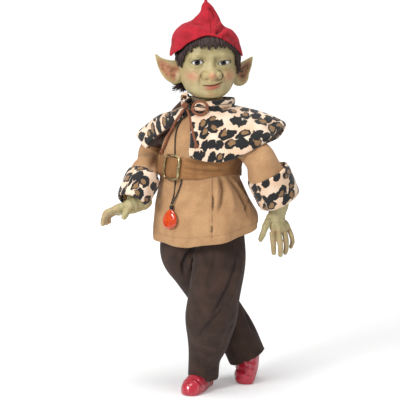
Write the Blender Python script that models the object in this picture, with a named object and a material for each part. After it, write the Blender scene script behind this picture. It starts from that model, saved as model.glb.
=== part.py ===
"""Elf figurine: a clothed doll about half a metre tall, standing in mid stride.

The doll looks at -Y, +X is to the right of someone facing it, and +Z is up. Sizes are in
millimetres until a mesh is made. Left and right in the names are the doll's own.
"""

import math

import bmesh
import bpy
import numpy as np
from mathutils import Matrix, Vector
from mathutils.bvhtree import BVHTree

MM = 0.001
GAP = 0.3

# Stance: the body faces a little to the doll's right, the head a little to its left
BODY_YAW = math.radians(-30)
HEAD_YAW = math.radians(6)
BODY_Y = -28.0

# Body heights above the floor
NECK_TOP_Z = 357.0
SHOULDER_Z = 338.0
CHEST_Z = 308.0
WAIST_Z = 287.0
HIP_Z = 232.0
CROTCH_Z = 190.0

# Body half widths, and depths in front of and behind the axis
NECK_RADIUS = 13.0
SHOULDER_HALF_WIDTH = 44.0
CHEST_HALF_WIDTH = 50.0
WAIST_HALF_WIDTH = 47.5
HIP_HALF_WIDTH = 51.0
CHEST_DEPTH = 36.0
WAIST_DEPTH = 37.0
HIP_DEPTH = 38.0
BACK_SHARE = 0.9

# Clothes
TROUSERS_WALL = 1.2
TROUSERS_TOP_Z = 268.0
TUNIC_WALL = 1.5
TUNIC_HEM_Z = 200.5
HEM_FLARE = 20.0
HEM_RISE = 0.13
HANGING_SIDE = 0.5
PLEATS = 8
PLEAT_DEPTH = 2.2
SLEEVE_WALL = 1.5
CUFF_WALL = 1.8
BELT_THICKNESS = 2.0
BELT_HEIGHT = 25.0
BELT_Z = 287.0
FLARE_FROM_Z = BELT_Z - 0.68 * BELT_HEIGHT
CORD_TUNNEL = 2.4
LINING_THICKNESS = 0.8
CAPE_THICKNESS = 1.8
COLLAR_THICKNESS = 4.5
COLLAR_HEIGHT = 11.0
COLLAR_RADIUS = 27.0

# Head
HEAD_X = 9.5
HEAD_Y = -25.0
CHIN_Z = 373.0
SKULL_TOP_Z = 462.0
HEAD_HALF_WIDTH = 35.5
FACE_DEPTH = 41.0
EYE_RADIUS = 6.5
EYE_SPACING = 32.6
EYE_Z = 416.5
NOSE_Z = 400.0
NOSE_LENGTH = 9.5
HAIR_THICKNESS = 3.0
HAIR_EASE = 1.7
CAP_PEAK = 32.0
CAP_WALL = 1.6
CAP_EASE = 0.5

# Limbs
ARM_RADIUS = 11.0
WRIST_RADIUS = 9.5
PALM_WIDTH = 28.0
PALM_LENGTH = 25.0
FINGER_RADIUS = 3.4
FINGER_LENGTH = 27.0
THIGH_RADIUS = 20.0
ANKLE_RADIUS = 10.0
SHOE_LENGTH = 66.0
SHOE_WIDTH = 28.0
SHOE_HEIGHT = 21.0
SOLE_FLAT_FROM = 0.7

# Buckle, lace and pendant
BUCKLE_WIDTH = 23.0
BUCKLE_HEIGHT = 30.0
BUCKLE_BAR = 1.3
LACE_RADIUS = 1.6
LACE_END_RADIUS = 2.6
LACE_KNOT_RADIUS = 4.2
LOOP_WIDTH = 19.0
LOOP_HEIGHT = 17.0
CORD_RADIUS = 0.8
PENDANT_WIDTH = 22.0
PENDANT_HEIGHT = 24.0
PENDANT_THICKNESS = 7.0
WRAP_RADIUS = 2.6
WRAP_HEIGHT = 5.0

COLUMNS = 32
TURN = np.linspace(0, 2 * math.pi, COLUMNS, endpoint=False)
UP = np.array((0.0, 0.0, 1.0))


def smooth(xs, ys, x):
    """Cubic curve through the points (xs, ys), with xs rising."""
    xs, ys = np.asarray(xs, float), np.asarray(ys, float)
    slopes = np.gradient(ys, xs)
    x = np.clip(np.asarray(x, float), xs[0], xs[-1])
    i = np.clip(np.searchsorted(xs, x) - 1, 0, len(xs) - 2)
    width = xs[i + 1] - xs[i]
    s = (x - xs[i]) / width
    start = (1 + 2 * s) * (1 - s) ** 2 * ys[i] + s * (1 - s) ** 2 * width * slopes[i]
    end = s * s * (3 - 2 * s) * ys[i + 1] + s * s * (s - 1) * width * slopes[i + 1]
    return start + end


def ramp(x, low, high):
    """0 below low, 1 above high, and a smooth step between them."""
    s = np.clip((np.asarray(x, float) - low) / (high - low), 0, 1)
    return s * s * (3 - 2 * s)


def unit(v):
    v = np.asarray(v, float)
    return v / np.linalg.norm(v)


def material(name, color, roughness, metallic=0.0):
    """A plain Principled material."""
    mat = bpy.data.materials.new(name)
    mat.use_nodes = True
    shader = mat.node_tree.nodes["Principled BSDF"]
    shader.inputs["Base Color"].default_value = (*color, 1.0)
    shader.inputs["Roughness"].default_value = roughness
    shader.inputs["Metallic"].default_value = metallic
    return mat


def make_object(name, points, faces, mat=None):
    """One mesh object from points in millimetres, with its faces turned outward."""
    mesh = bpy.data.meshes.new(name)
    mesh.from_pydata([tuple(p) for p in np.asarray(points) * MM], [], faces)
    bm = bmesh.new()
    bm.from_mesh(mesh)
    bmesh.ops.recalc_face_normals(bm, faces=bm.faces)
    bm.to_mesh(mesh)
    bm.free()
    mesh.shade_smooth()
    mesh.set_sharp_from_angle(angle=math.radians(50))
    obj = bpy.data.objects.new(name, mesh)
    if mat:
        mesh.materials.append(mat)
    bpy.context.scene.collection.objects.link(obj)
    return obj


def hide_cutter(obj):
    obj.hide_render = True
    obj.display_type = "WIRE"
    return obj


def boolean(obj, other, operation):
    """Join or cut obj with another closed mesh, which stays as a hidden helper."""
    hide_cutter(other)
    modifier = obj.modifiers.new(operation.title(), "BOOLEAN")
    modifier.operation = operation
    modifier.solver = "EXACT"
    modifier.object = other


def band_faces(rows, columns, first=0, closed=True):
    """Quads between rows of points, closed round the columns if asked."""
    faces = []
    last = columns if closed else columns - 1
    for i in range(rows - 1):
        for j in range(last):
            a = first + i * columns + j
            b = first + i * columns + (j + 1) % columns
            faces.append((a, b, b + columns, a + columns))
    return faces


def closed_loft(name, rings, mat=None):
    """A solid through closed rings, with flat ends."""
    rings = np.asarray(rings, float)
    rows, columns = rings.shape[:2]
    faces = band_faces(rows, columns)
    faces.append(tuple(range(columns)))
    faces.append(tuple((rows - 1) * columns + j for j in range(columns)))
    return make_object(name, rings.reshape(-1, 3), faces, mat)


def open_shell(name, outer, inner, mat=None):
    """A wall between two sets of rings, open at both ends."""
    rings = np.concatenate([outer, inner[::-1], outer[:1]])
    rows, columns = rings.shape[:2]
    faces = band_faces(rows - 1, columns)
    top = (rows - 2) * columns
    for j in range(columns):
        k = (j + 1) % columns
        faces.append((top + j, top + k, k, j))
    return make_object(name, rings[:-1].reshape(-1, 3), faces, mat)


def dome_shell(name, outer, inner, mat=None):
    """A wall that is open at its first ring and closed over its last one."""
    rings = np.concatenate([outer[::-1], inner])
    rows, columns = rings.shape[:2]
    faces = band_faces(rows, columns)
    faces.append(tuple(range(columns)))
    faces.append(tuple((rows - 1) * columns + j for j in range(columns)))
    return make_object(name, rings.reshape(-1, 3), faces, mat)


def sheet_solid(name, upper, lower, mat=None):
    """A thick sheet between two open grids of points."""
    rows, columns = upper.shape[:2]
    size = rows * columns
    points = np.concatenate([upper.reshape(-1, 3), lower.reshape(-1, 3)])
    faces = band_faces(rows, columns, 0, False) + band_faces(rows, columns, size, False)
    rim = [j for j in range(columns)]
    rim += [i * columns + columns - 1 for i in range(1, rows)]
    rim += [(rows - 1) * columns + j for j in range(columns - 2, -1, -1)]
    rim += [i * columns for i in range(rows - 2, 0, -1)]
    for a, b in zip(rim, rim[1:] + rim[:1]):
        faces.append((a, b, b + size, a + size))
    return make_object(name, points, faces, mat)


def curve_points(points, count):
    """A smooth curve through a few points, read at equal steps."""
    points = np.asarray(points, float)
    steps = np.r_[0, np.cumsum(np.linalg.norm(np.diff(points, axis=0), axis=1))]
    s = np.linspace(0, steps[-1], count)
    return np.stack([smooth(steps, points[:, k], s) for k in range(points.shape[1])], axis=1)


def tube_rings(path, radii, sides, side=None, flat=1.0):
    """Rings square to a path. radii holds one radius a point, and flat squeezes across side."""
    path = np.asarray(path, float)
    tangents = np.gradient(path, axis=0)
    axis = unit(side) if side is not None else unit(np.cross(tangents[0], (0.3, 1.0, 0.2)))
    angles = np.linspace(0, 2 * math.pi, sides, endpoint=False)
    rings = []
    for point, tangent, radius in zip(path, tangents, radii):
        tangent = unit(tangent)
        axis = unit(axis - tangent * np.dot(axis, tangent))
        third = np.cross(tangent, axis)
        ring = [point + radius * (math.cos(a) * axis + flat * math.sin(a) * third) for a in angles]
        rings.append(ring)
    return np.array(rings)


def hoop(name, path, radius, sides, outward, mat=None):
    """A closed tube along a ring of points that lies roughly square to one direction."""
    angles = np.linspace(0, 2 * math.pi, sides, endpoint=False)
    points = []
    for k in range(len(path)):
        tangent = unit(path[(k + 1) % len(path)] - path[k - 1])
        first = unit(outward - tangent * np.dot(outward, tangent))
        second = np.cross(tangent, first)
        points += [path[k] + radius * (math.cos(a) * first + math.sin(a) * second) for a in angles]
    faces = band_faces(len(path), sides)
    last = (len(path) - 1) * sides
    for j in range(sides):
        k = (j + 1) % sides
        faces.append((last + j, last + k, k, j))
    return make_object(name, points, faces, mat)


def limb_rings(points, radii, count, sides, grow=0.0, flat=1.0):
    """Rings of a limb through a few joints. grow is added to every radius."""
    data = np.column_stack([points, radii])
    data = curve_points(data, count)
    return tube_rings(data[:, :3], data[:, 3] + grow, sides, flat=flat)


def capsule_radii(count, radius, tip):
    """Radii of a finger: even, then rounded off at the end."""
    s = np.linspace(0, 1, count)
    even = radius + (tip - radius) * s
    return even * np.sqrt(np.clip(1 - ramp(s, 0.8, 1.0) * 0.85, 0.05, 1))


def tree_of(*objects):
    """A search tree of the finished surfaces of some objects, in millimetres."""
    graph = bpy.context.evaluated_depsgraph_get()
    points, faces = [], []
    for obj in objects:
        mesh = obj.evaluated_get(graph).to_mesh()
        first = len(points)
        points += [obj.matrix_world @ v.co / MM for v in mesh.vertices]
        faces += [[first + i for i in p.vertices] for p in mesh.polygons]
        obj.evaluated_get(graph).to_mesh_clear()
    return BVHTree.FromPolygons(points, faces)


def lifts(points, directions, tree, clearance, reach=60.0):
    """How far each point has to move out along its direction to lie clear of a surface."""
    result = np.zeros(points.shape[:-1])
    for index in np.ndindex(result.shape):
        out = unit(directions[index])
        start = points[index] + reach * out
        hit = tree.ray_cast(Vector(start), Vector(-out), reach + 200)
        if hit[0] is not None:
            height = np.dot(np.array(hit[0]) - points[index], out)
            result[index] = max(0.0, height + clearance)
    return result


# Body

BODY_HEIGHTS = (CROTCH_Z, 205, HIP_Z, 262, WAIST_Z, CHEST_Z, 325, SHOULDER_Z, 347, 353, NECK_TOP_Z)
BODY_CENTRES = (5, 5, 4, 1, 0, 4, 8, 9.5, 10, 10, 10)
BODY_WIDTHS = (
    0.82 * HIP_HALF_WIDTH,
    0.94 * HIP_HALF_WIDTH,
    HIP_HALF_WIDTH,
    0.5 * (HIP_HALF_WIDTH + WAIST_HALF_WIDTH),
    WAIST_HALF_WIDTH,
    CHEST_HALF_WIDTH,
    0.5 * (CHEST_HALF_WIDTH + SHOULDER_HALF_WIDTH) + 1,
    SHOULDER_HALF_WIDTH,
    0.8 * SHOULDER_HALF_WIDTH,
    0.5 * SHOULDER_HALF_WIDTH,
    NECK_RADIUS,
)
BODY_FRONTS = (
    0.82 * HIP_DEPTH,
    0.94 * HIP_DEPTH,
    HIP_DEPTH,
    0.5 * (HIP_DEPTH + WAIST_DEPTH),
    WAIST_DEPTH,
    CHEST_DEPTH,
    0.92 * CHEST_DEPTH,
    0.82 * CHEST_DEPTH,
    0.7 * CHEST_DEPTH,
    0.53 * CHEST_DEPTH,
    NECK_RADIUS,
)

SEAT_HEIGHTS = (CROTCH_Z, 205, HIP_Z, 250, TROUSERS_TOP_Z)
BODY_RING_HEIGHTS = SEAT_HEIGHTS + (WAIST_Z, CHEST_Z, 325, SHOULDER_Z, 347, 353, NECK_TOP_Z)


def section(centre, half_width, front, back, yaw, turn):
    """A rounded section. turn 0 is the doll's left side and a quarter turn is its front."""
    c, s = np.cos(turn), np.sin(turn)
    power = 2 / 2.3
    across = half_width * np.sign(c) * np.abs(c) ** power
    ahead = np.where(s > 0, front, back) * np.sign(s) * np.abs(s) ** power
    x = centre[0] + across * math.cos(yaw) + ahead * math.sin(yaw)
    y = centre[1] + across * math.sin(yaw) - ahead * math.cos(yaw)
    return x, y


def body_slope(z):
    """How fast the body widens with height, as the mean of its sides and its front."""
    step = 0.5
    sizes = []
    for level in (z - step, z + step):
        sizes.append(smooth(BODY_HEIGHTS, BODY_WIDTHS, level) + smooth(BODY_HEIGHTS, BODY_FRONTS, level))
    return (sizes[1] - sizes[0]) / (4 * step)


def body_rings(heights, grow, flare=0.0, turn=TURN):
    """Rings of the body's surface, grown outward. A flare widens them below the belt."""
    rings = []
    for z in heights:
        slope = body_slope(z)
        length = math.hypot(1, slope)
        extra = grow / length
        drop = np.clip((FLARE_FROM_Z - z) / (FLARE_FROM_Z - TUNIC_HEM_Z), 0, 1.2)
        wide = flare * drop**0.9 * (1 - HANGING_SIDE * np.clip(-np.cos(turn), 0, 1) ** 2)
        folds = PLEAT_DEPTH * np.clip(flare, 0, 1) * drop**1.5 * np.cos(PLEATS * turn)
        half = smooth(BODY_HEIGHTS, BODY_WIDTHS, z) + extra + wide
        front = smooth(BODY_HEIGHTS, BODY_FRONTS, z)
        centre = (smooth(BODY_HEIGHTS, BODY_CENTRES, z), BODY_Y)
        back = BACK_SHARE * front + extra + wide
        x, y = section(centre, half + folds, front + extra + wide + folds, back + folds, BODY_YAW, turn)
        height = z - grow * slope / length
        tilt = 0.058 * (x - HEAD_X) + 0.10 * (y - BODY_Y) + HEM_RISE * np.clip(x + 15, 0, None)
        swing = np.clip(flare, 0, 1) * tilt * ramp(-z, -250, -TUNIC_HEM_Z)
        rings.append(np.stack([x, y, height + swing], axis=1))
    return np.array(rings)


def on_body(turn, z, grow, flare=0.0):
    """A point over the body's surface."""
    return body_rings([z], grow, flare, np.array([turn]))[0, 0]


TROUSERS_INSIDE = GAP
TROUSERS_OUTSIDE = TROUSERS_INSIDE + TROUSERS_WALL
TUNIC_INSIDE = TROUSERS_OUTSIDE + GAP
TUNIC_OUTSIDE = TUNIC_INSIDE + TUNIC_WALL


def make_torso(mat):
    return closed_loft("torso", body_rings(BODY_RING_HEIGHTS, 0.0), mat)


# Arms: one line from the shoulder to the end of the sleeve, and what the sleeve adds to the arm

ARMS = {
    "left": {
        "line": [(26, -39, 334), (50, -55, 320), (72, -67, 299), (85, -64, 274), (97, -56, 249)],
        "ease": (4, 5, 8.5, 12.5, 11.5),
        "wrist": (98, -52, 222),
        "cuff": [(82, -64, 281), (90, -61, 265), (98, -56.5, 249)],
        "cuff_flare": (1.0, 0.6, 1.2),
    },
    "right": {
        "line": [(-14, -16, 334), (-33, -2, 326), (-51, 11, 313), (-62, 17, 295),
                 (-66, 3, 284), (-69, -18, 275), (-73.5, -42, 265.5), (-81, -58, 250.5)],
        "ease": (3, 4, 4, 5, 5, 5, 5, 4),
        "wrist": (-89, -69, 238.5),
        "cuff": [(-71.5, -38, 271.5), (-77, -51.5, 260.5), (-83.5, -62.5, 246)],
        "cuff_flare": (1.2, 1.1, 1.2),
    },
}
ARM_END = 0.8


def arm_line(side, start, end, count, grow=0.0):
    """Points of the arm's line and the sleeve's radius at each, between two shares of its length."""
    table = np.column_stack([ARMS[side]["line"], np.array(ARMS[side]["ease"]) + ARM_RADIUS + grow])
    dense = curve_points(table, 101)
    places = np.linspace(start, end, count) * 100
    return np.stack([np.interp(places, np.arange(101), dense[:, k]) for k in range(4)], axis=1)


def arm_rings(side, beyond):
    """Rings from the shoulder to just past the wrist, and which of them starts the forearm."""
    line = arm_line(side, 0.0, 1.0, 11)[:, :3]
    wrist = np.array(ARMS[side]["wrist"], float)
    path = np.concatenate([line, [wrist, wrist + beyond]])
    narrow = 0.84 * WRIST_RADIUS
    radii = np.concatenate([np.linspace(ARM_RADIUS, WRIST_RADIUS, 11), (narrow, narrow)])
    return tube_rings(path, radii, 10), int(round(10 * ARM_END))


def make_arm(side, torso_cutter, mat):
    rings, last = arm_rings(side, -UP)
    arm = closed_loft(f"arm_{side}", rings[: last + 1], mat)
    boolean(arm, torso_cutter, "DIFFERENCE")
    return arm


def sleeve_rings(side, grow, stretch=0.0):
    """Rings of a sleeve. stretch lengthens it at the wrist end, for a cutter."""
    line = arm_line(side, 0.0, 1.0, 11, grow)
    rings = tube_rings(line[:, :3], line[:, 3], 16)
    if stretch:
        ahead = unit(np.mean(rings[-1], axis=0) - np.mean(rings[-2], axis=0))
        rings = np.concatenate([rings, rings[-1:] + stretch * ahead])
    return rings


BELT_ROWS = BELT_Z + BELT_HEIGHT * np.array((-0.5, -0.17, 0.17, 0.5))
TUNIC_TOP_ROWS = (312, 325, 333, 341, 348, NECK_TOP_Z - 2.5)


def make_tunic(mat):
    """Tunic and sleeves: the outside joined first, then hollowed."""
    heights = np.concatenate([np.linspace(TUNIC_HEM_Z, FLARE_FROM_Z, 5), BELT_ROWS, TUNIC_TOP_ROWS])
    outer = body_rings(heights, TUNIC_OUTSIDE, HEM_FLARE)
    tunic = closed_loft("tunic", outer, mat)
    inner = body_rings(heights, TUNIC_INSIDE, HEM_FLARE)
    below, above = inner[:1] - 15 * UP, inner[-1:] + 15 * UP
    hollow = closed_loft("tunic_hollow", np.concatenate([below, inner, above]))
    for side in ARMS:
        boolean(tunic, closed_loft(f"sleeve_outside_{side}", sleeve_rings(side, 0.0)), "UNION")
    boolean(tunic, hollow, "DIFFERENCE")
    for side in ARMS:
        cutter = closed_loft(f"sleeve_inside_{side}", sleeve_rings(side, -SLEEVE_WALL, 12.0))
        boolean(tunic, cutter, "DIFFERENCE")
    return tunic


def make_cuff(side, mat):
    """A turned-back cuff round the end of the sleeve."""
    sleeve = arm_line(side, 0.3, 1.0, 60)
    path = curve_points(ARMS[side]["cuff"], 4)
    flare = smooth(np.linspace(0, 1, 3), ARMS[side]["cuff_flare"], np.linspace(0, 1, 4))
    along = unit(path[-1] - path[0])
    reach = []
    for point in path:
        offsets = sleeve[:, :3] - point
        near = np.argmin(np.linalg.norm(offsets, axis=1))
        aside = offsets[near] - along * np.dot(offsets[near], along)
        reach.append(sleeve[near, 3] + np.linalg.norm(aside))
    inside = np.array(reach) + GAP + flare
    inner = tube_rings(path, inside, 20)
    outer = tube_rings(path, inside + CUFF_WALL, 20)
    return open_shell(f"cuff_{side}", outer, inner, mat)


# Hands: the way the fingers point, the way the back of the hand faces, and how far the fingers curl

HANDS = {
    "left": {
        "along": (0.02, -0.06, -1.0),
        "back": (0.45, -0.89, 0.0),
        "thumb_side": 1,
        "curl": 0.16,
    },
    "right": {
        "along": (-0.86, -0.22, -0.46),
        "back": (-0.42, -0.40, 0.82),
        "thumb_side": -1,
        "curl": 0.42,
    },
}


def make_hand(side, mat):
    """Forearm and hand in one moulding, with four fingers and a thumb."""
    data = HANDS[side]
    wrist = np.array(ARMS[side]["wrist"], float)
    along = unit(data["along"])
    back = unit(np.array(data["back"]) - along * np.dot(data["back"], along))
    across = np.cross(along, back) * data["thumb_side"]
    rings, first = arm_rings(side, 5 * along)
    rings[first] += GAP * unit(np.mean(rings[first + 1] - rings[first], axis=0))
    hand = closed_loft(f"hand_{side}", rings[first:], mat)
    steps = np.linspace(0, 1, 6)
    middle = [wrist + along * PALM_LENGTH * s * 1.08 - along for s in steps]
    widths = 0.5 * PALM_WIDTH * smooth((0, 0.35, 0.8, 1), (0.5, 0.82, 1.0, 0.72), steps)
    palm = tube_rings(middle, widths, 10, side=across, flat=0.48)
    boolean(hand, closed_loft(f"palm_{side}", palm), "UNION")
    spread = np.linspace(0.36, -0.36, 4)
    lengths = FINGER_LENGTH * np.array((0.92, 1.0, 0.95, 0.76))
    for number, (place, length) in enumerate(zip(spread, lengths)):
        root = wrist + along * (PALM_LENGTH - 3) + across * place * PALM_WIDTH
        way = unit(along + 0.22 * place * across)
        line = []
        for s in np.linspace(0, 1, 6):
            bend = data["curl"] * (0.9 + 0.15 * number) * s * s
            line.append(root + length * s * way - back * length * bend)
        rings = tube_rings(line, capsule_radii(6, FINGER_RADIUS, 0.8 * FINGER_RADIUS), 6)
        boolean(hand, closed_loft(f"finger_{side}_{number}", rings), "UNION")
    root = wrist + 5 * along + across * 0.32 * PALM_WIDTH
    way = unit(0.75 * along + 0.62 * across - 0.25 * back)
    line = []
    for s in np.linspace(0, 1, 6):
        line.append(root + FINGER_LENGTH * (way * s - 0.1 * across * s * s))
    rings = tube_rings(line, capsule_radii(6, 1.2 * FINGER_RADIUS, 0.85 * FINGER_RADIUS), 6)
    boolean(hand, closed_loft(f"thumb_{side}", rings), "UNION")
    return hand


# Legs: joints from the hip to the ankle, and the trouser leg round them

LEGS = {
    "left": {
        "leg": [(24, -37, 214), (26, -46, 165), (14, -56, 120), (9, -46, 80), (7, -27, 30)],
        "trouser": [(24, -38, 205), (25, -46, 168), (18, -54, 126), (14, -51, 98),
                    (10, -42, 66), (5, -33, 40), (3.5, -29.5, 15)],
        "trouser_radii": (31, 33, 33, 33.5, 26.5, 21, 20.5),
    },
    "right": {
        "leg": [(-14, -19, 214), (-14, -10, 165), (4, 2, 125), (32, 8, 82), (63.5, 15.5, 43)],
        "trouser": [(-14, -18, 205), (-18, -12, 172), (-8, -5, 150), (10, 3, 120),
                    (31, 8, 90), (48.5, 11.5, 62), (61, 15, 35)],
        "trouser_radii": (34, 32.5, 29, 27, 25.5, 25.5, 23.5),
    },
}


def leg_rings(side, grow=0.0):
    """Rings of a leg. A grown one is also that much longer at the ankle."""
    joints = LEGS[side]["leg"]
    places = np.linspace(0, 1, len(joints))
    radii = smooth((0, 0.5, 1), (THIGH_RADIUS, 0.8 * THIGH_RADIUS, ANKLE_RADIUS), places)
    rings = limb_rings(joints, radii, 9, 10, grow)
    rings[-1] += grow * unit(np.mean(rings[-1] - rings[-2], axis=0))
    return rings


def make_leg(side, torso_cutter, mat):
    leg = closed_loft(f"leg_{side}", leg_rings(side), mat)
    boolean(leg, torso_cutter, "DIFFERENCE")
    return leg


def trouser_leg(side, grow, stretch=0.0):
    rings = limb_rings(LEGS[side]["trouser"], LEGS[side]["trouser_radii"], 11, 16, grow)
    if stretch:
        ahead = unit(np.mean(rings[-1], axis=0) - np.mean(rings[-2], axis=0))
        rings = np.concatenate([rings, rings[-1:] + stretch * ahead])
    return rings


def make_trousers(mat):
    """Seat and two legs joined, then hollowed the same way."""
    seat = body_rings(SEAT_HEIGHTS, TROUSERS_OUTSIDE)
    inner = body_rings(SEAT_HEIGHTS, TROUSERS_INSIDE)
    floor = (GAP + TROUSERS_WALL) * UP
    trousers = closed_loft("trousers", np.concatenate([seat[:1] - floor, seat]), mat)
    inner = np.concatenate([inner[:1] - GAP * UP, inner, inner[-1:] + 15 * UP])
    hollow = closed_loft("trousers_hollow", inner)
    for side in LEGS:
        boolean(trousers, closed_loft(f"trouser_outside_{side}", trouser_leg(side, 0.0)), "UNION")
    boolean(trousers, hollow, "DIFFERENCE")
    for side in LEGS:
        inside = closed_loft(f"trouser_inside_{side}", trouser_leg(side, -TROUSERS_WALL, 10.0))
        boolean(trousers, inside, "DIFFERENCE")
        clearance = closed_loft(f"shoe_clearance_{side}", shoe_rings(side, GAP))
        boolean(trousers, clearance, "DIFFERENCE")
    return trousers


# Shoes

SHOES = {
    "left": {"heel": (11, -8, 0), "toe_way": (-0.41, -0.91, 0.0), "sole_up": (0, 0, 1)},
    "right": {"heel": (74.5, 23.5, 49.5), "toe_way": (-0.26, -0.47, -0.845), "sole_up": (-0.42, -0.62, 0.58)},
}


def shoe_rings(side, grow=0.0):
    """Rings of a soft shoe from heel to toe, with its sole flattened where it meets the floor."""
    data = SHOES[side]
    along = unit(data["toe_way"])
    up = unit(np.array(data["sole_up"]) - along * np.dot(data["sole_up"], along))
    across = np.cross(along, up)
    steps = np.linspace(0.0, 1.0, 12)
    widths = 0.5 * SHOE_WIDTH * smooth((0, 0.06, 0.25, 0.7, 0.9, 1), (0.3, 0.6, 0.76, 1.0, 0.8, 0.3), steps)
    tops = SHOE_HEIGHT * smooth((0, 0.08, 0.3, 0.7, 0.92, 1), (0.55, 1.0, 1.25, 0.95, 0.7, 0.3), steps)
    angles = np.linspace(0, 2 * math.pi, 14, endpoint=False)
    rings = []
    for s, width, top in zip(steps, widths, tops):
        c, n = np.cos(angles), np.sin(angles)
        side_part = (width + grow) * np.sign(c) * np.abs(c) ** 0.8
        side_height = 0.35 * top
        above = side_height + (top - side_height + grow) * n
        below = side_height * (1 - np.clip(np.abs(n) / SOLE_FLAT_FROM, 0, 1) ** 0.45)
        height = np.where(n > 0, above, below)
        centre = np.array(data["heel"]) + along * SHOE_LENGTH * s
        rings.append(centre + np.outer(side_part, across) + np.outer(height, up))
    rings = np.array(rings)
    rings[0] -= grow * along
    rings[-1] += grow * along
    rings[:, :, 2] = np.maximum(rings[:, :, 2], 0.0)
    return rings


def make_shoe(side, mat):
    shoe = closed_loft(f"shoe_{side}", shoe_rings(side), mat)
    boolean(shoe, closed_loft(f"ankle_clearance_{side}", leg_rings(side, GAP)), "DIFFERENCE")
    return shoe


# Head

HEAD_HEIGHTS = (
    NECK_TOP_Z + GAP, 367, 371, CHIN_Z, 377, 387, 397, 406, 416, 426, 436, 446, 454, 459.5, SKULL_TOP_Z,
)
HEAD_WIDTHS = (0.31, 0.31, 0.36, 0.50, 0.66, 0.86, 0.965, 1.0, 1.01, 1.01, 0.99, 0.91, 0.74, 0.48, 0.12)
HEAD_FRONTS = (0.30, 0.30, 0.42, 0.74, 0.91, 0.96, 0.985, 0.99, 0.985, 1.0, 0.985, 0.9, 0.73, 0.47, 0.12)
HEAD_BACKS = (0.21, 0.21, 0.32, 0.44, 0.58, 0.8, 0.92, 1.0, 1.04, 1.05, 1.03, 0.94, 0.77, 0.5, 0.12)
HEAD_TURN = TURN + math.pi / 2 - 0.45 * np.sin(TURN)


def face_relief(across, z):
    """How far the features stand out of the face."""
    x = across / HEAD_HALF_WIDTH

    def bump(height, at_x, at_z, wide, tall):
        return height * np.exp(-(((x - at_x) / wide) ** 2) - ((z - at_z) / tall) ** 2)

    relief = bump(NOSE_LENGTH, 0, NOSE_Z, 0.16, 5.0) + bump(4.5, 0, NOSE_Z + 9, 0.10, 8.0)
    relief = relief + bump(3.0, 0.19, NOSE_Z, 0.09, 4.0) + bump(3.0, -0.19, NOSE_Z, 0.09, 4.0)
    relief = relief + bump(2.2, 0, 386, 0.3, 3.0) + bump(2.5, 0, 377, 0.3, 4.5)
    relief = relief + bump(2.2, 0.5, 401, 0.25, 8) + bump(2.2, -0.5, 401, 0.25, 8)
    return relief + bump(2.0, 0.42, 424, 0.3, 4) + bump(2.0, -0.42, 424, 0.3, 4)


def head_rings(heights, grow=0.0, turn=HEAD_TURN, relief=True):
    """Rings of the head. heights is one height a ring, or a height for each point of it."""
    rings = []
    for z in heights:
        half = HEAD_HALF_WIDTH * smooth(HEAD_HEIGHTS, HEAD_WIDTHS, z) + grow
        front = FACE_DEPTH * smooth(HEAD_HEIGHTS, HEAD_FRONTS, z) + grow
        back = FACE_DEPTH * smooth(HEAD_HEIGHTS, HEAD_BACKS, z) + grow
        if relief:
            front = front + face_relief(half * np.cos(turn), z) * ramp(np.sin(turn), 0.3, 0.7)
        x, y = section((HEAD_X, HEAD_Y), half, front, back, HEAD_YAW, turn)
        rings.append(np.stack([x, y, np.broadcast_to(z, x.shape)], axis=1))
    return np.array(rings)


EARS = {
    "right": {
        "line": [(-18, -27, 400), (-28, -28, 402), (-39, -30, 408), (-48, -31, 416), (-55, -32, 424.5)],
        "widths": (11, 17.5, 14, 8, 1.2),
    },
    "left": {
        "line": [(37, -22, 400), (46, -21, 402), (54, -20, 407), (60, -20, 413), (66, -20, 420.5)],
        "widths": (10, 16, 13, 7.5, 1.2),
    },
}


def ear_rings(side):
    """A pointed ear: flat sections along a line from its root to its tip."""
    data = np.column_stack([EARS[side]["line"], EARS[side]["widths"]])
    data = curve_points(data, 8)
    return tube_rings(data[:, :3], data[:, 3], 12, side=(0, 0.1, 1), flat=0.24)


def eye_centre(sign):
    ahead = FACE_DEPTH - EYE_RADIUS - 1.0
    across = 0.5 * EYE_SPACING * sign
    x = HEAD_X + across * math.cos(HEAD_YAW) + ahead * math.sin(HEAD_YAW)
    y = HEAD_Y + across * math.sin(HEAD_YAW) - ahead * math.cos(HEAD_YAW)
    return np.array((x, y, EYE_Z))


def ball(name, centre, radius, mat=None):
    bm = bmesh.new()
    bmesh.ops.create_uvsphere(bm, u_segments=12, v_segments=8, radius=radius * MM)
    bmesh.ops.translate(bm, verts=bm.verts, vec=Vector(centre * MM))
    mesh = bpy.data.meshes.new(name)
    bm.to_mesh(mesh)
    bm.free()
    mesh.shade_smooth()
    obj = bpy.data.objects.new(name, mesh)
    if mat:
        mesh.materials.append(mat)
    bpy.context.scene.collection.objects.link(obj)
    return obj


def make_head(skin, eye_mat):
    """Head, neck and ears in one moulding, with sockets for the eyes."""
    neck = (NECK_TOP_Z + GAP, 365, 370, 372)
    heights = np.concatenate([neck, np.linspace(374, 456, 19), (459.5, SKULL_TOP_Z)])
    head = closed_loft("head", head_rings(heights), skin)
    for side in EARS:
        boolean(head, closed_loft(f"ear_{side}", ear_rings(side)), "UNION")
    for side, sign in (("left", 1), ("right", -1)):
        socket = ball(f"eye_socket_{side}", eye_centre(sign), EYE_RADIUS + GAP)
        boolean(head, socket, "DIFFERENCE")
        ball(f"eye_{side}", eye_centre(sign), EYE_RADIUS, eye_mat)
    return head


def edge_heights(turn, values):
    """Height of an edge round the head, from its values at the front, sides and back."""
    angle = np.degrees(np.arctan2(np.cos(turn), np.sin(turn)))
    return smooth(values[0], values[1], angle)


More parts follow.
